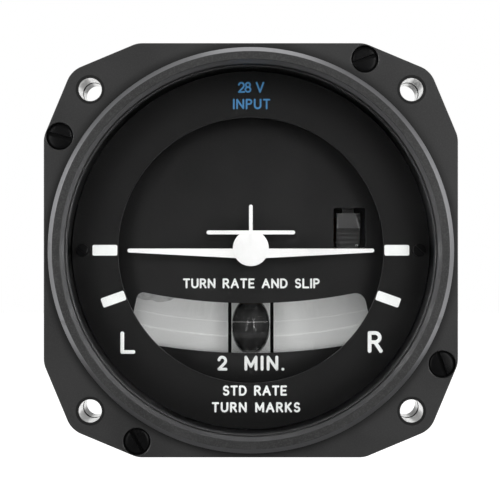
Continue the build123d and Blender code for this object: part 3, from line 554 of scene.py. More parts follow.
bezel_paint, tree, shader = painted(
    "bezel_paint", paint_colour, grey(0.10), 0.00035, 0.00001, 0.48, specular=0.4)
spot = place_on(tree)
radius, depth = radius_of(tree, spot)
coat = use(tree, grain, Grain_Size=0.0003, Drift_Size=0.006)
band = between(tree, radius, lip_r + slope_w + 4 * soft, ring_r - chamfer_w, 2.5 * soft)
rough = times(tree, coat["Speckle"], calc(tree, "MULTIPLY_ADD", band, 0.55, 0.30))
laid_over(tree, shader, rough, Base_Color=grain_colour)
# Painted shade: the coat darkens towards the foot of the ring, where the ring shades the flange
foot = times(tree, ramp(tree, radius, ring_r + ring_shade_w, ring_r),
             ramp(tree, depth, lip_front_y, lip_front_y / 3))
laid_over(tree, shader, times(tree, foot, 0.9), Base_Color=painted_shade_colour)
scuffed = ramp(tree, noise(tree, spot, 0.0025, 5.0), 0.30, 0.42)
rubbed = between(tree, radius, ring_r - chamfer_w + soft, ring_r + 10 * soft, 1.5 * soft)
rubbed = times(tree, rubbed, ramp(tree, depth, rubbed_from_y, rubbed_full_y))
rubbed = times(tree, rubbed, calc(tree, "MULTIPLY_ADD", scuffed, 0.3, 0.7))
laid_over(tree, shader, rubbed, Base_Color=rubbed_colour, Metallic=0.9, Roughness=0.3)
# Painted light: the lip's slope gets a lighter copy of the black coat, standing for the light on it, and a
# glossier finish
slope_painted_light = times(tree, between(tree, radius, lip_r - soft, lip_r + slope_w, soft),
             between(tree, depth, -ring_proud, lip_front_y, 2.5 * soft))
laid_over(tree, shader, slope_painted_light, Base_Color=slope_painted_light_colour, Roughness=0.34)
bare_holes(tree, spot, shader, hole_flare, flange_back_y - seam_flare)
piece("bezel_casting", bezel_mesh(), "root", "black_casting", bezel_paint, "bezel")


# Bezel screws. Four slotted steel screws, blackened, sunk in their counterbores. They draw the
# case's flange up against the bezel.
bezel_head, bezel_slot = (2.5 * MM, 1.9 * MM, 0.16 * MM), (0.8 * MM, 0.9 * MM)
bezel_shank = (1.4 * MM, 8.2 * MM)
bezel_turns = (-20, 15, 60, 70)


def recipe(name, labels):
    """A Geometry Nodes tree that is fed a mesh. Returns it with its ends."""
    tree = bpy.data.node_groups.new(name, "GeometryNodeTree")
    face = tree.interface
    face.new_socket("Geometry", in_out="INPUT", socket_type="NodeSocketGeometry")
    for label in labels:
        kind = "NodeSocketMaterial" if label == "Finish" else "NodeSocketFloat"
        face.new_socket(label, in_out="INPUT", socket_type=kind)
    face.new_socket("Geometry", in_out="OUTPUT", socket_type="NodeSocketGeometry")
    return tree, tree.nodes.new("NodeGroupInput").outputs, tree.nodes.new("NodeGroupOutput").inputs


def grown(name, base, tree, **values):
    """The plain mesh that a tree makes from a mesh."""
    work = linked(name, base)
    step = work.modifiers.new("grow", "NODES")
    step.node_group = tree
    for item in tree.interface.items_tree:
        if item.in_out == "INPUT" and item.name != "Geometry":
            step[item.identifier] = values[item.name.replace(" ", "_")]
    return applied(work)


def moved(tree, mesh, y=0.0, z=0.0):
    """A mesh moved by offsets that may be sockets."""
    offset = put(tree, "ShaderNodeCombineXYZ", [0.0, y, z]).outputs[0]
    return put(tree, "GeometryNodeTransform", {"Geometry": mesh, "Translation": offset}).outputs[0]


def closed(tree, mesh, result, finish):
    """The end of every tree: real geometry with its material."""
    real = put(tree, "GeometryNodeRealizeInstances", {"Geometry": mesh}).outputs[0]
    made = put(tree, "GeometryNodeSetMaterial", {"Geometry": real, "Material": finish}).outputs[0]
    tree.links.new(made, result["Geometry"])


# A slotted screw on each point, turned as the point's attribute "facing" says. Its head stands
# on the point, its face is domed with a rounded rim, and its shank runs the other way.
slotted, given, result = recipe("slotted_screw", [
    "Head Radius", "Head Height", "Dome", "Slot Width", "Slot Depth", "Shank Radius", "Shank Length",
    "Finish"])
head = put(slotted, "GeometryNodeMeshCylinder", {
    "Vertices": 64, "Fill Segments": 10, "Radius": given["Head Radius"], "Depth": given["Head Height"]},
    fill_type="TRIANGLE_FAN").outputs["Mesh"]
where = split(slotted, put(slotted, "GeometryNodeInputPosition").outputs[0])
reach = calc(slotted, "SQRT", calc(slotted, "ADD", times(slotted, where["X"], where["X"]),
                                   times(slotted, where["Y"], where["Y"])))
share = calc(slotted, "DIVIDE", reach, given["Head Radius"])
crown = times(slotted, times(slotted, share, share), -1.0)
rim = times(slotted, ramp(slotted, share, 0.86, 1.02), -1.3)
rise = times(slotted, calc(slotted, "ADD", crown, rim), given["Dome"])
head = put(slotted, "GeometryNodeSetPosition", {
    "Geometry": head, "Selection": calc(slotted, "GREATER_THAN", where["Z"], 0.0),
    "Offset": put(slotted, "ShaderNodeCombineXYZ", {"Z": rise}).outputs[0]}).outputs[0]
head = moved(slotted, head, z=times(slotted, given["Head Height"], 0.5))
size = put(slotted, "ShaderNodeCombineXYZ", {
    "X": times(slotted, given["Head Radius"], 3.0), "Y": given["Slot Width"],
    "Z": times(slotted, given["Slot Depth"], 2.0)}).outputs[0]
bar = put(slotted, "GeometryNodeMeshCube", {"Size": size}).outputs["Mesh"]
bar = moved(slotted, bar, z=given["Head Height"])
head = put(slotted, "GeometryNodeMeshBoolean", {"Mesh 1": head, "Mesh 2": bar},
           operation="DIFFERENCE", solver="EXACT").outputs["Mesh"]
shank = put(slotted, "GeometryNodeMeshCylinder", {
    "Vertices": 24, "Radius": given["Shank Radius"], "Depth": given["Shank Length"]}).outputs["Mesh"]
shank = moved(slotted, shank, z=times(slotted, given["Shank Length"], -0.4999))
whole = put(slotted, "GeometryNodeJoinGeometry", {"Geometry": head})
slotted.links.new(shank, whole.inputs["Geometry"])
facing = put(slotted, "GeometryNodeInputNamedAttribute", {"Name": "facing"}, data_type="FLOAT_VECTOR")
spread = put(slotted, "GeometryNodeInstanceOnPoints", {
    "Points": given["Geometry"], "Instance": whole.outputs[0], "Rotation": facing.outputs[0]}).outputs[0]
closed(slotted, spread, result, given["Finish"])


def seats_for(name, places, seat_y, turns, front=True):
    """One point for each screw on the depth seat_y, with the way that it faces."""
    mesh = bpy.data.meshes.new(name)
    mesh.from_pydata([(x, seat_y, z) for x, z in places], [], [])
    attribute = mesh.attributes.new("facing", "FLOAT_VECTOR", "POINT")
    for item, turn in zip(attribute.data, turns):
        item.vector = (math.radians(90 if front else -90), math.radians(turn), 0)
    return mesh


def screw_set(name, points, head, slot_cut, shank, finish, slot, node):
    """Screws on their points, as one piece that stands for a CAD node. The head has its radius,
    height and dome, the slot its width and depth, and the shank its radius and length."""
    mesh = grown(name, points, slotted, Head_Radius=head[0], Head_Height=head[1], Dome=head[2],
                 Slot_Width=slot_cut[0], Slot_Depth=slot_cut[1], Shank_Radius=shank[0],
                 Shank_Length=shank[1], Finish=finish)
    piece(name, shaded(mesh, 32), "root", slot, None, node)


black_oxide = painted("black_oxide", (0.0035, 0.0035, 0.0037, 1), (0.05, 0.05, 0.052, 1), 0.0006, 0.000004,
                      0.30, 0.0001, 0.0012, specular=0.12)[0]
bezel_points = seats_for("bezel_seats", quarter_turns(screw_x, screw_z), counterbore_depth, bezel_turns)
screw_set("bezel_screw_set", bezel_points, bezel_head, bezel_slot, bezel_shank, black_oxide, "black_screw",
          "bezel_screws")


# Cover glass. A flat ground disc, pressed against a rubber gasket behind the bezel's lip by a
# black anodised ring.
glass_r, glass_front_y, glass_back_y = 37.5 * MM, 1.4 * MM, 4.2 * MM
retainer_in_r, retainer_back_y = 36.6 * MM, 6.1 * MM


def glass(name, colour, index, smudge):
    """Clear glass with faint smears in its polish. Lamps and the room's diffuse light pass
    straight through it, so what is behind it is lit plainly."""
    made, tree, shader = material(name, Base_Color=colour, Transmission_Weight=1.0, IOR=index)
    smear = ramp(tree, noise(tree, place_on(tree), 0.009, 4.0), 0.45, 0.75)
    feed(tree, shader, Roughness=times(tree, smear, smudge))
    path = put(tree, "ShaderNodeLightPath").outputs
    through = calc(tree, "MAXIMUM", path["Is Shadow Ray"], path["Is Diffuse Ray"])
    feed(tree, shader, Alpha=calc(tree, "SUBTRACT", 1.0, through))
    return made


def moulded(name, colour, roughness, grain_size=0.0004, grain_depth=0.000006):
    """Rubber or moulded plastic: an even colour that drifts a little, and a fine grain."""
    made, tree, shader = material(name)
    skin = use(tree, grain, Grain_Size=grain_size, Drift_Size=0.01)
    feed(tree, shader, Base_Color=blend(tree, skin["Drift"], *shades(colour)),
         Roughness=calc(tree, "MULTIPLY_ADD", skin["Speckle"], 0.10, roughness - 0.05))
    bump(tree, shader, skin["Height"], grain_depth)
    return made


def dress(finish, *nodes):
    """Gives CAD nodes that stay their finish."""
    for node in nodes:
        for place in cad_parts[node].material_slots:
            place.material = finish


def hoop(name, outer, inner, front, back, ease, inner_ease=None):
    """A turned ring with eased edges."""
    bore_ease = inner_ease or ease
    return shaded(turned(name, rounded(box(inner, outer, front, back), [bore_ease, ease, ease, bore_ease])))


def rod(name, radius, front, back, x=0.0, z=0.0, steps=40, eases=(0, 0), ease_steps=3):
    """A round bar or disc along the depth axis, with its front and back rims eased."""
    profile = [(0, front), (radius, front), (radius, back), (0, back)]
    return turned(name, rounded(profile, [0, *eases, 0], ease_steps), x, z, steps)


pane = rod("pane", glass_r, glass_front_y, glass_back_y, steps=192, eases=(0.2 * MM, 0.2 * MM))
piece("cover_pane", shaded(pane), "root", "clear_glass", glass("clear_pane", grey(1), 1.5, 0.012),
      "cover_glass")
rubber = moulded("seal_rubber", grey(0.012), 0.75)
dress(rubber, "glass_gasket")
anodised = painted("black_anodise", (0.050, 0.050, 0.051, 1), grey(0.25), 0.0004, 0.000003, 0.40)[0]
piece("retaining_ring", hoop("ring", glass_r, retainer_in_r, glass_back_y, retainer_back_y, 0.15 * MM),
      "root", "black_ring", anodised, "glass_retainer")


# Mask. A thin aluminium ring on two pillars, sprayed matt black and greyed a little towards its
# inner edge. Its level and turn marks, the letters for the two sides and the notes are printed
# on it in white and pale blue.
mask_front_y, mask_back_y = 6.7 * MM, 7.5 * MM
mask_r, mask_in_r = 35.9 * MM, 26.7 * MM
mask_screw_x, mask_hole_r = 33.76 * MM, 1.0 * MM
mask_head, mask_slot = (1.25 * MM, 0.7 * MM, 0.08 * MM), (0.4 * MM, 0.35 * MM)
mask_shank, mask_turns = (1 * MM, 5 * MM), (40, 40)
ink_t = 0.03 * MM
bar_in_r, bar_round = 26.8 * MM, 0.3 * MM
level_bar_out, level_bar_w = 31.78 * MM, 2.14 * MM
turn_bar_out, turn_bar_w = 31.7 * MM, 1.96 * MM
turn_angle = 19.6
mask_dark_r, mask_dark = 34.8 * MM, grey(0.0075)
mask_inner_grey_r, mask_inner_grey = 28.8 * MM, grey(0.0145)
white_ink = (0.92, 0.94, 0.925, 1)
blue_ink = (0.045, 0.215, 0.45, 1)

# A round-ended stroke along each edge of a mesh, pressed nearly flat on the depth Plane
stroke, given, result = recipe("painted_stroke", ["Stroke Width", "Plane", "Flatness", "Finish"])
pen_r = times(stroke, given["Stroke Width"], 0.5)
line = put(stroke, "GeometryNodeMeshToCurve", {"Mesh": given["Geometry"]}).outputs[0]
pen = put(stroke, "GeometryNodeCurvePrimitiveCircle", {"Resolution": 10, "Radius": pen_r}).outputs[0]
line = put(stroke, "GeometryNodeCurveToMesh", {
    "Curve": line, "Profile Curve": pen, "Fill Caps": True}).outputs[0]
ends = put(stroke, "GeometryNodeInputNamedAttribute", {"Name": "pen_stop"}, data_type="BOOLEAN")
dot = put(stroke, "GeometryNodeMeshUVSphere", {"Segments": 12, "Rings": 7, "Radius": pen_r}).outputs["Mesh"]
dots = put(stroke, "GeometryNodeInstanceOnPoints", {
    "Points": given["Geometry"], "Selection": ends.outputs[0], "Instance": dot}).outputs[0]
dots = put(stroke, "GeometryNodeRealizeInstances", {"Geometry": dots}).outputs[0]
whole = put(stroke, "GeometryNodeJoinGeometry", {"Geometry": line})
stroke.links.new(dots, whole.inputs["Geometry"])
where = split(stroke, put(stroke, "GeometryNodeInputPosition").outputs[0])
off = calc(stroke, "SUBTRACT", where["Y"], given["Plane"])
pressed = calc(stroke, "MULTIPLY_ADD", off, given["Flatness"], given["Plane"])
landing = put(stroke, "ShaderNodeCombineXYZ", [where["X"], pressed, where["Z"]]).outputs[0]
flat = put(stroke, "GeometryNodeSetPosition", {
    "Geometry": whole.outputs[0], "Position": landing}).outputs[0]
closed(stroke, flat, result, given["Finish"])


def bow(*values):
    """A round stroke of a letter, closed where it is a full turn."""
    points = oval(*values)
    return points + points[:1] if values[-1] - values[-2] == 360 else points


# Each letter's width and its strokes, for a height of 1
bowl = bow(0.30, 0.745, 0.26, 0.255, 90, -90)
letters = {
    " ": (0.38, []),
    ".": (0.0, [[(0, 0)]]),
    "2": (0.58, [bow(0.28, 0.70, 0.28, 0.30, 165, -38) + [(0, 0), (0.58, 0)]]),
    "8": (0.56, [bow(0.28, 0.76, 0.23, 0.24, 0, 360), bow(0.28, 0.26, 0.28, 0.26, 0, 360)]),
    "A": (0.80, [[(0, 0), (0.40, 1), (0.80, 0)], [(0.14, 0.35), (0.66, 0.35)]]),
    "D": (0.70, [[(0.30, 0), (0, 0), (0, 1), (0.30, 1)] + bow(0.30, 0.5, 0.40, 0.5, 90, -90)]),
    "E": (0.54, [[(0.54, 1), (0, 1), (0, 0), (0.54, 0)], [(0, 0.5), (0.46, 0.5)]]),
    "I": (0.0, [[(0, 0), (0, 1)]]),
    "K": (0.62, [[(0, 0), (0, 1)], [(0.58, 1), (0, 0.38)], [(0.20, 0.58), (0.62, 0)]]),
    "L": (0.60, [[(0, 1), (0, 0), (0.60, 0)]]),
    "M": (0.84, [[(0, 0), (0, 1), (0.42, 0.22), (0.84, 1), (0.84, 0)]]),
    "N": (0.72, [[(0, 0), (0, 1), (0.72, 0), (0.72, 1)]]),
    "P": (0.56, [[(0, 0), (0, 1), (0.30, 1)] + bowl + [(0, 0.49)]]),
    "R": (0.62, [[(0, 0), (0, 1), (0.30, 1)] + bowl + [(0, 0.49)], [(0.30, 0.49), (0.62, 0)]]),
    "S": (0.56, [bow(0.28, 0.755, 0.25, 0.245, 35, 250) + bow(0.28, 0.26, 0.28, 0.26, 70, -150)]),
    "T": (0.64, [[(0, 1), (0.64, 1)], [(0.32, 1), (0.32, 0)]]),
    "U": (0.68, [[(0, 1)] + bow(0.34, 0.34, 0.34, 0.34, 180, 360) + [(0.68, 1)]]),
    "V": (0.74, [[(0, 1), (0.37, 0), (0.74, 1)]]),
}


def legend(name, words, plane_y, finish):
    """Painted words. Each has its text, left and right ends, top and bottom in mm, and pen width."""
    meshes = []
    for text, left, right, top, bottom, pen_w in words:
        height, low = top - bottom - pen_w, bottom + pen_w / 2
        widths = [letters[letter][0] * height for letter in text]
        gap = (right - left - pen_w - sum(widths)) / max(1, len(text) - 1)
        x, points, edges, stops = left + pen_w / 2, [], [], []
        for letter, width in zip(text, widths):
            for path in letters[letter][1]:
                spots = [Vector((x + a * height, low + b * height)) for k, (a, b) in enumerate(path)
                         if k == 0 or math.dist(path[k - 1], (a, b)) > 0.01]
                for k, here in enumerate(spots):
                    ends = k in (0, len(spots) - 1)
                    bends = not ends and (here - spots[k - 1]).angle(spots[k + 1] - here) > 0.5
                    if k:
                        edges.append((len(points) - 1, len(points)))
                    for _ in range(2 if bends else 1):      # A stroke ends at a corner, and the next starts
                        points.append((here.x * MM, plane_y, here.y * MM))
                        stops.append(bends or ends)
            x += width + gap
        mesh = bpy.data.meshes.new(name)
        mesh.from_pydata(points, edges, [])
        mark = mesh.attributes.new("pen_stop", "BOOLEAN", "POINT")
        for item, stop in zip(mark.data, stops):
            item.value = stop
        meshes.append(grown(name, mesh, stroke, Stroke_Width=pen_w * MM, Plane=plane_y,
                            Flatness=2 * ink_t / (pen_w * MM), Finish=finish))
    mesh = joined(name, meshes)
    mesh.shade_smooth()
    piece(name, mesh, "root", "aircraft_white", finish)


def ink(name, colour):
    """Screen-printed paint: matt, a little uneven, with a fine grain."""
    made, tree, shader = material(name)
    skin = use(tree, grain, Grain_Size=0.00018, Drift_Size=0.003)
    thin = tuple(channel * 0.93 for channel in colour[:3]) + (1,)
    feed(tree, shader, Base_Color=blend(tree, skin["Drift"], thin, colour),
         Roughness=calc(tree, "MULTIPLY_ADD", skin["Speckle"], 0.1, 0.5))
    bump(tree, shader, skin["Height"], 0.000003)
    return made


def radial_bar(inner, outer, width, degrees):
    """A mark's rounded rectangle, laid along a radius of the dial."""
    turn = Matrix.Rotation(math.radians(degrees), 2)
    bar = rounded(box(inner, outer, -width / 2, width / 2), bar_round)
    outline = [tuple(turn @ Vector(point)) for point in bar]
    return plate("bar", outline, mask_front_y - ink_t, mask_front_y + ink_t)


dial_paint, tree, shader = painted(
    "dial_paint", mask_dark, grey(0.02), 0.00022, 0.000006, 0.70, 0.0001, specular=0.06)
radius = radius_of(tree, place_on(tree))[0]
# The mask's black is darker towards its rim and greyer towards its inner edge
laid_over(tree, shader, ramp(tree, radius, mask_dark_r, mask_inner_grey_r), Base_Color=mask_inner_grey)
laid_over(tree, shader, calc(tree, "LESS_THAN", radius, mask_in_r + 1.5 * soft),
          Base_Color=grey(0.05), Metallic=0.3, Roughness=0.4)
white_paint, blue_paint = ink("white_ink", white_ink), ink("blue_ink", blue_ink)
ring = hoop("mask", mask_r, mask_in_r, mask_front_y, mask_back_y, 0.12 * MM, 0.03 * MM)
bores = [rod("bore", mask_hole_r, mask_front_y - past, mask_back_y + past, x, 0, 32)
         for x in (-mask_screw_x, mask_screw_x)]
piece("mask_ring", shaded(carved(ring, bores)), "root", "dial_black", dial_paint, "dial_mask")
bars = [radial_bar(bar_in_r, level_bar_out, level_bar_w, side) for side in (0, 180)]
bars += [radial_bar(bar_in_r, turn_bar_out, turn_bar_w, side) for side in (-turn_angle, 180 + turn_angle)]
piece("mask_bars", joined("bars", bars), "root", "aircraft_white", white_paint)
legend("mask_words", [
    ("L", -26.2, -23.0, -16.3, -20.8, 0.78),
    ("R", 23.45, 26.5, -16.2, -20.6, 0.78),
    ("STD RATE", -5.65, 7.25, -27.12, -29.2, 0.42),
    ("TURN MARKS", -7.85, 9.93, -30.48, -32.55, 0.42)], mask_front_y, white_paint)
legend("mask_power_words", [
    ("28 V", -2.6, 2.7, 33.8, 31.6, 0.36),
    ("INPUT", -3.6, 3.9, 30.4, 28.3, 0.36)], mask_front_y, blue_paint)
mask_points = seats_for("mask_seats", [(mask_screw_x, 0), (-mask_screw_x, 0)], mask_front_y, mask_turns)
screw_set("mask_screw_set", mask_points, mask_head, mask_slot, mask_shank, black_oxide, "black_screw",
          "mask_screws")


# Dial plate. A sprayed aluminium disc 4.5 mm behind the mask, its rim darkened with painted shade
# under the mask's edge. It is cut out for the power flag and for the curved tube, with the
# pointer's shaft through its centre, and stands on four posts.
dial_y, dial_back_y = 12.0 * MM, 13.0 * MM
dial_r = 31.0 * MM
shaft_hole_r = 1.8 * MM
window = (17.0 * MM, 23.5 * MM, 0.4 * MM, 8.7 * MM)
window_round = 0.45 * MM
arc_z = 99.2 * MM
slot_in_r, slot_out_r = 110.1 * MM, 120.4 * MM
slot_half_angle = 12.198
slot_left_round, slot_right_round, slot_low_round = 1.5 * MM, 2.3 * MM, 3.0 * MM
dial_open_grey_r, dial_open_grey = 22.8 * MM, grey(0.0178)
dial_painted_shade_r, dial_painted_shade = 26.3 * MM, grey(0.0100)


def arc_points(radius, start, end, steps):
    """Points about the tube's arc centre. 0 degrees is its lowest place, positive to the right."""
    turns = [math.radians(start + (end - start) * k / steps) for k in range(steps + 1)]
    return [(radius * math.sin(turn), arc_z - radius * math.cos(turn)) for turn in turns]


def slot_outline():
    """The smile-shaped opening for the tube."""
    steps, half = 24, slot_half_angle
    outline = arc_points(slot_in_r, -half, half, steps) + arc_points(slot_out_r, half, -half, steps)
    radii = [0.0] * len(outline)
    radii[0], radii[steps] = slot_left_round, slot_right_round
    radii[steps + 1] = radii[-1] = slot_low_round
    trimmed = [(point, r) for k, (point, r) in enumerate(zip(outline, radii))
               if k not in (1, steps - 1, steps + 2, steps + 3, len(outline) - 2, len(outline) - 3)]
    return rounded([point for point, _ in trimmed], [r for _, r in trimmed], 6)


front_y, rear_y = dial_y - past, dial_back_y + past
cuts = [plate("slot", slot_outline(), front_y, rear_y),
        plate("window", rounded(box(*window), window_round), front_y, rear_y),
        rod("bore", shaft_hole_r, front_y, rear_y, steps=48)]
disc = rod("disc", dial_r, dial_y, dial_back_y, steps=192, eases=(0.1 * MM, 0.1 * MM))
recess_paint, tree, shader = painted(
    "recess_paint", dial_open_grey, grey(0.03), 0.00022, 0.000006, 0.68, 0.0001, specular=0.08)
from_shaft = radius_of(tree, place_on(tree))[0]
# Painted shade: the dial darkens towards its rim, under the mask's edge
laid_over(tree, shader, ramp(tree, from_shaft, dial_open_grey_r, dial_painted_shade_r), Base_Color=dial_painted_shade)
piece("dial_disc", shaded(carved(disc, cuts)), "root", "dial_black", recess_paint, "dial_plate")
legend("dial_words", [
    ("TURN RATE AND SLIP", -13.95, 14.15, -5.78, -7.84, 0.40),
    ("2", -6.88, -4.88, -21.67, -24.76, 0.62),
    ("MIN.", -1.33, 6.9, -21.67, -24.76, 0.62)], dial_y, white_paint)
dress(black_oxide, "dial_screws")


# Slip indicator. A glass tube bent to an arc and filled with damping liquid, closed by rubber
# plugs, with a pale painted trough behind it, lightened low down with painted light and darkened
# high up with painted shade, and two blackened wires before it. The curved glass and its liquid
# magnify what is inside, and a small gas bubble stays at the tube's higher end.
tube_y, tube_r, bore_r = 19.7 * MM, 5.8 * MM, 4.25 * MM
tube_arc_r = 115.25 * MM
tube_half_angle, plug_angles = 13.4, (13.4, 12.7)
trough_low_painted_light, trough_high_painted_shade = (113.5 * MM, 117.5 * MM), (114.5 * MM, 110.5 * MM)
wire_r, wire_x, wire_gap = 0.35 * MM, 4.35 * MM, 0.02 * MM
wire_low, wire_high = -22.0 * MM, -10.1 * MM
bubble_ends = (-12.9, -8.3)
bubble_r, bubble_chord, bubble_wave, bubble_ripple = 4.1 * MM, 3.05 * MM, 0.10 * MM, 17


def bent(name, sections):
    """A closed body along the tube's arc. Each section is its angle and its outline, of offsets
    away from the arc's centre and in depth."""
    work = bmesh.new()
    loops = []
    for degrees, outline in sections:
        places = [(arc_points(tube_arc_r + out, degrees, degrees, 1)[0], back) for out, back in outline]
        loops.append([work.verts.new((x, tube_y + back, z)) for (x, z), back in places])
    for here, after in zip(loops, loops[1:]):
        for k in range(len(here)):
            work.faces.new((here[k - 1], here[k], after[k], after[k - 1]))
    work.faces.new(loops[0])
    work.faces.new(loops[-1])
    return mesh_of(work, name)


def tube_sections():
    """Round sections of the tube, rounded off at both ends."""
    steps, ends = 72, ((0.0, 0.93), (0.12, 0.98), (0.3, 1.0))
    straight = tube_half_angle - ends[-1][0]
    places = [(-tube_half_angle + along, share) for along, share in ends]
    places += [(straight * (2 * k / steps - 1), 1.0) for k in range(1, steps)]
    places += [(tube_half_angle - along, share) for along, share in reversed(ends)]
    return [(degrees, oval(0, 0, share * tube_r, share * tube_r, steps=64)) for degrees, share in places]


def bubble_sections():
    """Sections of the gas under the tube's upper wall, shallow at its free end and a little wavy."""
    sections, steps = [], 28
    for k in range(steps + 1):
        along = k / steps
        shallow = along ** 6
        chord = bubble_chord + (bubble_r - bubble_chord - 0.05 * MM) * shallow
        chord += bubble_wave * math.sin(along * bubble_ripple) * (1 - shallow)
        half = math.acos(min(0.999, chord / bubble_r))
        turns = [half * (2 * j / 14 - 1) for j in range(15)]
        outline = [(-bubble_r * math.cos(turn), bubble_r * math.sin(turn)) for turn in turns]
        sections.append((bubble_ends[0] + (bubble_ends[1] - bubble_ends[0]) * along, outline))
    return sections


tube_glass = glass("tube_glass", (0.99, 0.995, 0.99, 1), 1.52, 0.004)
piece("tube_glass_body", shaded(bent("tube", tube_sections())), "root", "clear_glass", tube_glass,
      "inclinometer_tube")
# Painted shade: the clear gas is drawn as a dark, partly clear body, for the light its surface turns away
gas, tree, shader = material("bubble_gas", Base_Color=(0.05, 0.053, 0.052, 1), Roughness=0.15)
cloud = ramp(tree, noise(tree, place_on(tree), 0.0012, 3.0), 0.35, 0.7)
feed(tree, shader, Alpha=calc(tree, "MULTIPLY_ADD", cloud, 0.14, 0.08))
piece("gas_bubble", shaded(bent("bubble", bubble_sections()), 60), "root", "clear_glass", gas)

trough_paint, tree, shader = painted(
    "trough_paint", (0.90, 0.91, 0.90, 1), grey(0.5), 0.0005, 0.000004, 0.55)
from_arc = radius_of(tree, place_on(tree), 0, -arc_z)[0]
# Painted light and shade: the trough is lighter towards its bottom and darker towards its top, as light from
# above falls
laid_over(tree, shader, ramp(tree, from_arc, *trough_low_painted_light), Base_Color=(0.98, 0.985, 0.98, 1))
laid_over(tree, shader, ramp(tree, from_arc, *trough_high_painted_shade), Base_Color=(0.58, 0.59, 0.58, 1))
dress(trough_paint, "tube_trough")
plugs = [bent("plug", [(side * angle, oval(0, 0, bore_r, bore_r, steps=48)) for angle in plug_angles])
         for side in (-1, 1)]
piece("tube_plug_pair", shaded(joined("plugs", plugs)), "root", "seal_rubber", rubber, "tube_plugs")

wires, upright = [], Matrix.Rotation(math.radians(90), 4, "X")
for side in (-1, 1):
    wire = rod("wire", wire_r, wire_low, wire_high, steps=28, eases=(0.3 * wire_r, 0.3 * wire_r))
    wire.transform(Matrix.Translation((side * wire_x, tube_y - tube_r - wire_r - wire_gap, 0)) @ upright)
    wires.append(wire)
wire_black = painted("wire_black", grey(0.002), grey(0.01), 0.0003, 0.000003,
                     0.6, 0.00008, 0.0008, specular=0.04)[0]
piece("marker_wire_pair", shaded(joined("wires", wires)), "root", "marker_black", wire_black,
      "marker_wires")


# Ball. Polished black glass, free to roll in the tube's liquid.
ball_r = 4.08 * MM

ball_black, tree, shader = material("ball_black", IOR=1.52)
polish = use(tree, grain, Grain_Size=0.0009, Drift_Size=0.003)
feed(tree, shader, Base_Color=blend(tree, polish["Drift"], grey(0.030), grey(0.046)),
     Roughness=calc(tree, "MULTIPLY_ADD", polish["Speckle"], 0.04, 0.05))
bump(tree, shader, polish["Height"], 0.0000008)
work = bmesh.new()
bmesh.ops.create_uvsphere(work, u_segments=64, v_segments=40, radius=ball_r,
                          matrix=Matrix.Translation((0, tube_y, arc_z - tube_arc_r)))
piece("glass_ball", shaded(mesh_of(work, "ball")), "ball", "ball_black", ball_black, "slip_ball")


# Miniature aircraft. Cut from thin sheet as seen from behind, with filed edges and matt white
# paint, and fixed to the pointer's shaft. The tailplane and the fin stand a little proud.
aircraft_front_y, aircraft_t = 8.7 * MM, 0.7 * MM
wing_half, wing_top, wing_tip_t = 25.0 * MM, 0.35 * MM, 0.80 * MM
wing_root, root_r = (3.1 * MM, -1.59 * MM), 0.5 * MM
fuselage_r, fuselage_z = 3.65 * MM, 0.42 * MM
tail_half, tail_low, tail_high = 8.98 * MM, 3.20 * MM, 4.02 * MM
fin_half, fin_top = 0.38 * MM, 9.24 * MM
filed_edge = 0.11 * MM
tail_proud = 0.10 * MM


def cut_sheet(name, outline, proud):
    """One part of the aircraft, with filed edges, that stands proud of the wings."""
    front, back = aircraft_front_y - proud, aircraft_front_y + aircraft_t - proud / 4
    return plate(name, outline, front, back, filed_edge)


tip_r, tail_r, fin_r = wing_tip_t / 2 - 0.01 * MM, (tail_high - tail_low) / 2 - 0.01 * MM, 0.98 * fin_half
wings = rounded([(-wing_half, wing_top), (wing_half, wing_top), (wing_half, wing_top - wing_tip_t),
                 wing_root, (-wing_root[0], wing_root[1]), (-wing_half, wing_top - wing_tip_t)],
                [tip_r, tip_r, tip_r, root_r, root_r, tip_r], 6)
body = oval(0, fuselage_z, fuselage_r, fuselage_r, steps=96)
tail = rounded(box(-tail_half, tail_half, tail_low, tail_high), tail_r, 6)
fin = rounded(box(-fin_half, fin_half, fuselage_z, fin_top), [0, 0, fin_r, fin_r], 6)
sheet = carved(cut_sheet("wings", wings, 0), adds=[
    cut_sheet("body", body, 0.04 * MM), cut_sheet("tail", tail, tail_proud),
    cut_sheet("fin", fin, tail_proud * 0.7)])
aircraft_paint = painted("aircraft_paint", (0.95, 0.95, 0.94, 1), (0.62, 0.62, 0.60, 1), 0.0003, 0.000004,
                         0.5, 0.00006, 0.0015, worn_metal=0.0)[0]
piece("aircraft_sheet", shaded(sheet), "pointer", "aircraft_white", aircraft_paint, "miniature_aircraft")


# Power flag. A dark flap on an axle behind the dial, with a grey pane on it that fills the upper
# part of the window when the power is off, and a rivet through the flap.
pane = (17.80 * MM, 22.62 * MM, 4.52 * MM, 7.68 * MM)
pane_slant = 0.85 * MM
pane_front_y, pane_back_y = 13.88 * MM, 14.05 * MM
rivet_at, rivet_r = (22.05 * MM, 1.0 * MM), 0.32 * MM
flap_face_y, rivet_front_y = 14.6 * MM, 14.38 * MM

left, right, low, high = pane
outline = rounded([(left, low), (right, low), (right - pane_slant, high), (left + 0.1 * MM, high)],
                  [0.12 * MM, 0.12 * MM, 0.35 * MM, 0.4 * MM])
pane_grey, tree, shader = painted(
    "pane_grey", grey(0.036), grey(0.12), 0.0004, 0.000003, 0.5, 0.00012, 0.004)
across = split(tree, place_on(tree))
slanted = calc(tree, "MULTIPLY_ADD", calc(tree, "SUBTRACT", across["Z"], low),
               pane_slant / (high - low), across["X"])
inner, outer = 0.42 * MM, 0.18 * MM
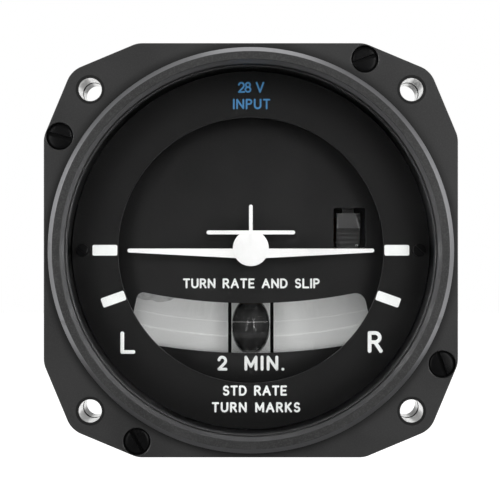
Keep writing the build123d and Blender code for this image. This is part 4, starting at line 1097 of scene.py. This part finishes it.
# Painted highlight: the pane's left and slanted right edges are lighter, fading out towards the top
pane_side_highlight = calc(tree, "ADD", ramp(tree, across["X"], left + inner, left + outer),
             ramp(tree, slanted, right - inner, right - outer))
pane_side_highlight = times(tree, pane_side_highlight, ramp(tree, across["Z"], high, low))
laid_over(tree, shader, pane_side_highlight, Base_Color=grey(0.16))
pane = plate("pane", outline, pane_front_y, pane_back_y, 0.06 * MM)
piece("flag_pane", shaded(pane), "flag", "flag_grey", pane_grey)
rivet = rod("rivet", rivet_r, rivet_front_y, flap_face_y + 0.1 * MM, *rivet_at, 24, (0.15 * MM, 0))
flap_black, tree, shader = painted(
    "flap_black", grey(0.010), grey(0.05), 0.0003, 0.000004, 0.5)
ribs = put(tree, "ShaderNodeTexWave", {"Vector": place_on(tree), "Scale": 330.0}, bands_direction="Z")
bump(tree, shader, ribs.outputs["Fac"], 0.00004)
dress(flap_black, "power_flag")


# Turned, milled and drawn metal of the inside: fine concentric lines from the tool, a slow
# drift of tone from handling, and dull patches
marks, given, result = effect("tool_marks", [("Pitch", 0.0002), ("Drift Size", 0.012)], ["Lines", "Stain"])
spot = place_on(marks)
radius, depth = radius_of(marks, spot)
along = calc(marks, "ADD", radius, depth)
lines = put(marks, "ShaderNodeTexNoise", {
    "W": calc(marks, "DIVIDE", along, given["Pitch"]), "Scale": 1.0, "Detail": 2.0}, noise_dimensions="1D")
marks.links.new(lines.outputs["Fac"], result["Lines"])
marks.links.new(ramp(marks, noise(marks, spot, given["Drift Size"], 4.0), 0.3, 0.72), result["Stain"])


def machined(name, colour, roughness, pitch=0.00018, depth=0.0000015):
    """Bare metal with tool lines."""
    made, tree, shader = material(name, Metallic=1.0)
    cut = use(tree, marks, Pitch=pitch, Drift_Size=0.012)
    feed(tree, shader, Base_Color=blend(tree, cut["Stain"], *shades(colour)),
         Roughness=calc(tree, "MULTIPLY_ADD", cut["Lines"], 0.14, roughness - 0.05))
    bump(tree, shader, cut["Lines"], depth)
    return made


ground_steel = machined("ground_steel", (0.56, 0.56, 0.57, 1), 0.26)
spring_steel = machined("spring_steel", (0.50, 0.50, 0.51, 1), 0.22, 0.0004)
turned_brass = machined("turned_brass", (0.72, 0.52, 0.22, 1), 0.24)
turned_aluminium = machined("turned_aluminium", (0.72, 0.72, 0.73, 1), 0.30)
piece("flag_rivet", shaded(rivet), "flag", "steel", ground_steel)
dress(ground_steel, "flag_axle", "pointer_shaft")
dress(spring_steel, "flag_bracket", "tube_clips")
dress(turned_brass, "pointer_bush")
dress(turned_aluminium, "mask_pillars", "dial_posts")


# Case. A drawn aluminium can with a square flange that takes the bezel's screws, painted black
# all over. Lugs inside carry the mechanism and the rear cover, and a seal lies in its front.
case_flange_back_y, case_end_y = 11.0 * MM, 118.0 * MM
case_r, case_in_r = 39.0 * MM, 37.4 * MM
root_fillet, mouth_ease = 0.8 * MM, 0.3 * MM
lug_r, lug_circle_r, lug_hole_r = 3.2 * MM, 34.4 * MM, 1.0 * MM
front_lugs = (29.5 * MM, 37.5 * MM, (90, 210, 330))
rear_lugs = (108.5 * MM, 116.5 * MM, (45, 135, 225, 315))
seal_in_r, seal_out_r, seal_depth = 38.2 * MM, 39.4 * MM, 0.9 * MM
case_colour = grey(0.022)


def on_circle(radius, degrees):
    """The x and z of a point on a circle about the dial's centre."""
    return radius * math.cos(math.radians(degrees)), radius * math.sin(math.radians(degrees))


def case_mesh():
    """Flange and can as one, bored through, drilled, grooved for the seal and given its lugs."""
    inner, start, foot = case_in_r - past, flange_back_y + past, case_flange_back_y
    can = [(inner, start), (case_r + root_fillet, start), (case_r + root_fillet, foot),
           (case_r + 0.3 * root_fillet, foot + 0.3 * root_fillet), (case_r, foot + root_fillet),
           (case_r, case_end_y - mouth_ease), (case_r - mouth_ease, case_end_y), (inner, case_end_y)]
    base = plate("case_work", flange_outline(), flange_back_y, case_flange_back_y, edge_ease)
    cuts = [rod("bore", case_in_r, flange_back_y - past, case_end_y + past, steps=192),
            hole_cutters(flange_back_y, case_flange_back_y, seam_flare, hole_flare),
            turned("groove", box(seal_in_r, seal_out_r, flange_back_y - past, flange_back_y + seal_depth)),
            joined("holes", [rod("hole", bezel_shank[0], flange_back_y - past, foot + past, x, z, 32)
                             for x, z in quarter_turns(screw_x, screw_z)])]
    shell = carved(base, cuts, [turned("can", can)])
    lugs, bores = [], []
    for front, back, angles in (front_lugs, rear_lugs):
        for degrees in angles:
            x, z = on_circle(lug_circle_r, degrees)
            lugs.append(rod("lug", lug_r, front, back, x, z))
            bores.append(rod("bore", lug_hole_r, front - past, back + past, x, z, 24))
    return shaded(carved(shell, [joined("bores", bores)], [joined("lugs", lugs)]))


def enamelled(name, colour):
    """Black stoving enamel: a slight orange peel, scuffs from handling and edges rubbed grey."""
    made, tree, shader = painted(
        name, colour, (0.30, 0.30, 0.31, 1), 0.0009, 0.000012, 0.38, 0.00025, 0.003)
    spot = place_on(tree)
    long_way = put(tree, "ShaderNodeMapping", {"Vector": spot, "Scale": (1.0, 0.08, 1.0)}).outputs[0]
    scuff = ramp(tree, noise(tree, long_way, 0.0006, 3.0), 0.66, 0.74)
    scuff = times(tree, scuff, ramp(tree, noise(tree, spot, 0.02, 2.0), 0.5, 0.62))
    laid_over(tree, shader, times(tree, scuff, 0.5), Base_Color=grey(0.09), Roughness=0.6)
    return made, tree, shader


case_enamel, tree, shader = enamelled("case_enamel", case_colour)
bare_holes(tree, place_on(tree), shader, flange_back_y + seam_flare, case_flange_back_y - hole_flare)
piece("case_can", case_mesh(), "root", "case_black", case_enamel, "case")
dress(rubber, "case_seal")


# Rear cover. A turned disc with a spigot into the case, a shallow ring cut in its face, and
# four plated screws into the case's lugs.
cover_back_y, cover_bevel = 121.0 * MM, 0.8 * MM
spigot_r, spigot_y = 37.25 * MM, 116.5 * MM
ring_cut_in_r, ring_cut_out_r, ring_cut_depth = 26.0 * MM, 27.2 * MM, 0.35 * MM
socket_r = 6.6 * MM
socket_screw = 9.1 * MM
cover_head, cover_slot = (1.9 * MM, 1.3 * MM, 0.12 * MM), (0.6 * MM, 0.55 * MM)
cover_shank = (1 * MM, 8 * MM)
cover_turns = (38, 160, 221, 297)

ring_floor_y = cover_back_y - ring_cut_depth
disc = turned("cover_work", rounded([
    (0, spigot_y), (spigot_r, spigot_y), (spigot_r, case_end_y), (case_r, case_end_y),
    (case_r, cover_back_y - cover_bevel), (case_r - cover_bevel, cover_back_y),
    (ring_cut_out_r, cover_back_y), (ring_cut_out_r - 0.1 * MM, ring_floor_y),
    (ring_cut_in_r + 0.1 * MM, ring_floor_y), (ring_cut_in_r, cover_back_y), (0, cover_back_y)],
    [0, 0.1 * MM, 0, 0.25 * MM, 0.2 * MM, 0.2 * MM, 0.1 * MM, 0, 0, 0.1 * MM, 0]))
cover_places = [on_circle(lug_circle_r, degrees) for degrees in rear_lugs[2]]
socket_places = quarter_turns(socket_screw, socket_screw)
bores = [rod("bore", lug_hole_r, spigot_y - past, cover_back_y + past, x, z, 24)
         for x, z in cover_places + socket_places]
bores.append(rod("bore", socket_r, spigot_y - past, cover_back_y + past, steps=64))
cover_enamel = enamelled("cover_enamel", case_colour)[0]
piece("cover_disc", shaded(carved(disc, [joined("bores", bores)])), "root", "case_black", cover_enamel,
      "rear_cover")
screw_steel = machined("screw_steel", (0.55, 0.55, 0.56, 1), 0.3, 0.00012, 0.000003)
cover_points = seats_for("cover_seats", cover_places, cover_back_y, cover_turns, False)
screw_set("cover_screw_set", cover_points, cover_head, cover_slot, cover_shank, screw_steel, "steel_screw",
          "rear_cover_screws")


# Power receptacle. A plated aluminium shell with a square flange, a threaded barrel and a
# keyway, and in it a black moulded insert with three plated contacts. Four screws hold it.
shell_half, shell_corner = 12.7 * MM, 1.5 * MM
shell_seat_y, shell_end_y = 123.6 * MM, 136.59 * MM
barrel_r, thread_root_r, collar_end_y = 7.94 * MM, 7.56 * MM, 125.4 * MM
thread_pitch, thread_turns, thread_ridge = 1.06 * MM, 8.6, 0.37 * MM
keyway_w, keyway_depth = 1.7 * MM, 0.7 * MM
insert_face_y, insert_back_y = 128.1 * MM, 116.5 * MM
contact_circle_r, contact_r, contact_end_y = 3.6 * MM, 0.8 * MM, 134.6 * MM
collar_r, collar_face_y = 1.35 * MM, 128.45 * MM
contact_angles = (270, 30, 150)
shell_head, shell_slot = (1.7 * MM, 1.1 * MM, 0.1 * MM), (0.5 * MM, 0.5 * MM)
shell_shank, shell_turns = (1 * MM, 5 * MM), (12, 75, 128, 170)

# A thread's ridge wound round the depth axis, from the depth Start on
winding, given, result = recipe("wound_thread", ["Radius", "Pitch", "Turns", "Ridge", "Start", "Finish"])
helix = put(winding, "GeometryNodeCurveSpiral", {
    "Resolution": 48, "Rotations": given["Turns"],
    "Start Radius": given["Radius"], "End Radius": given["Radius"],
    "Height": times(winding, given["Turns"], given["Pitch"])}).outputs[0]
tooth = put(winding, "GeometryNodeCurvePrimitiveCircle", {
    "Resolution": 4, "Radius": given["Ridge"]}).outputs[0]
ridge = put(winding, "GeometryNodeCurveToMesh", {
    "Curve": helix, "Profile Curve": tooth, "Fill Caps": True}).outputs[0]
ridge = put(winding, "GeometryNodeTransform", {
    "Geometry": ridge, "Rotation": (math.radians(-90), 0, 0)}).outputs[0]
ridge = moved(winding, ridge, y=given["Start"])
closed(winding, ridge, result, given["Finish"])

chromate, tree, shader = painted(
    "olive_chromate", (0.23, 0.22, 0.15, 1), (0.62, 0.62, 0.60, 1), 0.0005, 0.000003, 0.36, 0.0002, 0.0015)
sheen = use(tree, marks, Pitch=0.0003, Drift_Size=0.006)
feed(tree, shader, Metallic=calc(tree, "MULTIPLY_ADD", sheen["Stain"], 0.2, 0.65))
thread = grown("thread", bpy.data.meshes.new("thread"), winding, Radius=thread_root_r, Pitch=thread_pitch,
               Turns=thread_turns, Ridge=thread_ridge, Start=collar_end_y + 0.5 * MM, Finish=chromate)
square = rounded(box(-shell_half, shell_half, -shell_half, shell_half), shell_corner, 6)
flange = plate("shell_work", square, cover_back_y, shell_seat_y, 0.18 * MM)
barrel = turned("barrel", rounded([
    (socket_r - past, shell_seat_y - past), (barrel_r, shell_seat_y - past), (barrel_r, collar_end_y),
    (thread_root_r, collar_end_y + 0.3 * MM), (thread_root_r, shell_end_y), (socket_r - past, shell_end_y)],
    [0, 0, 0.12 * MM, 0.05 * MM, 0.35 * MM, 0]), steps=128)
key = box(-keyway_w / 2, keyway_w / 2, socket_r - past, socket_r + keyway_depth)
cuts = [rod("bore", socket_r, cover_back_y - past, shell_end_y + past, steps=96),
        plate("keyway", key, insert_face_y, shell_end_y + past),
        joined("bores", [rod("bore", lug_hole_r, cover_back_y - past, shell_seat_y + past, x, z, 24)
                         for x, z in socket_places])]
shell = shaded(carved(flange, cuts, [barrel]))
piece("socket_shell", joined("shell", [shell, shaded(thread, 30)]), "root", "shell_metal", chromate,
      "receptacle_shell")
socket_points = seats_for("socket_seats", socket_places, shell_seat_y, shell_turns, False)
screw_set("socket_screw_set", socket_points, shell_head, shell_slot, shell_shank, screw_steel, "steel_screw",
          "receptacle_screws")

contact_places = [on_circle(contact_circle_r, degrees) for degrees in contact_angles]
collars = [rod("collar", collar_r, insert_face_y - past, collar_face_y, x, z, 32, (0, 0.12 * MM))
           for x, z in contact_places]
bores = [rod("bore", contact_r, insert_back_y - past, insert_face_y + past, x, z, 24)
         for x, z in contact_places]
block = rod("insert_work", socket_r, insert_back_y, insert_face_y, steps=96, eases=(0, 0.2 * MM))
insert_black = moulded("insert_black", (0.018, 0.018, 0.019, 1), 0.42, 0.0003)
piece("socket_insert", shaded(carved(block, [joined("bores", bores)], collars)), "root", "insert_black",
      insert_black, "receptacle_insert")
contacts = [rod("contact", contact_r, insert_back_y, contact_end_y, x, z, 28, (0.2 * MM, 0.62 * MM), 5)
            for x, z in contact_places]
contact_gold = machined("contact_gold", (0.80, 0.60, 0.28, 1), 0.22, 0.0003)
piece("socket_contacts", shaded(joined("contacts", contacts)), "root", "pin_metal", contact_gold,
      "receptacle_pins")
lead_cover = moulded("lead_cover", (0.62, 0.62, 0.60, 1), 0.5)
dress(lead_cover, "power_leads")


# Mechanism. Milled aluminium plates on turned posts, a gimbal on a canted axis with its brass
# gyro wheel, motor, spring and damper, the bevel pair to the pointer, and the electronics board.
milled_aluminium = machined("milled_aluminium", (0.62, 0.62, 0.64, 1), 0.34, 0.0005, 0.000002)
dress(milled_aluminium, "front_plate", "rear_plate", "gimbal_frame")
dress(turned_aluminium, "frame_posts", "board_posts", "bearing_caps", "damper_cup", "damper_lid",
      "damper_vane")
dress(ground_steel, "gimbal_pivots", "gimbal_bearings", "gimbal_stops", "rotor_bearings", "rotor_shaft",
      "motor_stator", "spring_pin")
dress(turned_brass, "drive_pinion", "drive_sector", "rotor_wheel", "spring_collet")
dress(spring_steel, "centring_spring")
dress(screw_steel, "frame_screws", "board_screws")
dress(machined("magnet_grey", (0.10, 0.10, 0.11, 1), 0.45), "motor_magnet")

# Enamelled copper wire, wound turn beside turn, with the enamel's brown tone
copper, tree, shader = material("enamelled_copper", Metallic=0.9, Coat_Weight=0.5)
turns_of_wire = put(tree, "ShaderNodeTexWave", {
    "Vector": place_on(tree), "Scale": 1100.0, "Distortion": 0.6}, bands_direction="Y").outputs["Fac"]
feed(tree, shader, Base_Color=blend(tree, turns_of_wire, (0.20, 0.075, 0.03, 1), (0.62, 0.27, 0.12, 1)),
     Roughness=calc(tree, "MULTIPLY_ADD", turns_of_wire, -0.15, 0.42))
bump(tree, shader, turns_of_wire, 0.00003)
dress(copper, "stator_windings", "flag_coil")

# Green solder mask over the tracks of a round board, and the moulded parts on it
board_green, tree, shader = painted(
    "board_green", (0.018, 0.115, 0.045, 1), (0.30, 0.27, 0.14, 1), 0.0008, 0.000005, 0.32)
tracks = put(tree, "ShaderNodeTexBrick", {
    "Vector": place_on(tree), "Scale": 150.0, "Mortar Size": 0.03, "Mortar Smooth": 0.4}).outputs["Fac"]
laid_over(tree, shader, times(tree, tracks, 0.6), Base_Color=(0.035, 0.19, 0.075, 1), Roughness=0.25)
dress(board_green, "circuit_board")
dress(moulded("moulded_black", (0.022, 0.022, 0.024, 1), 0.34, 0.0002), "board_parts")
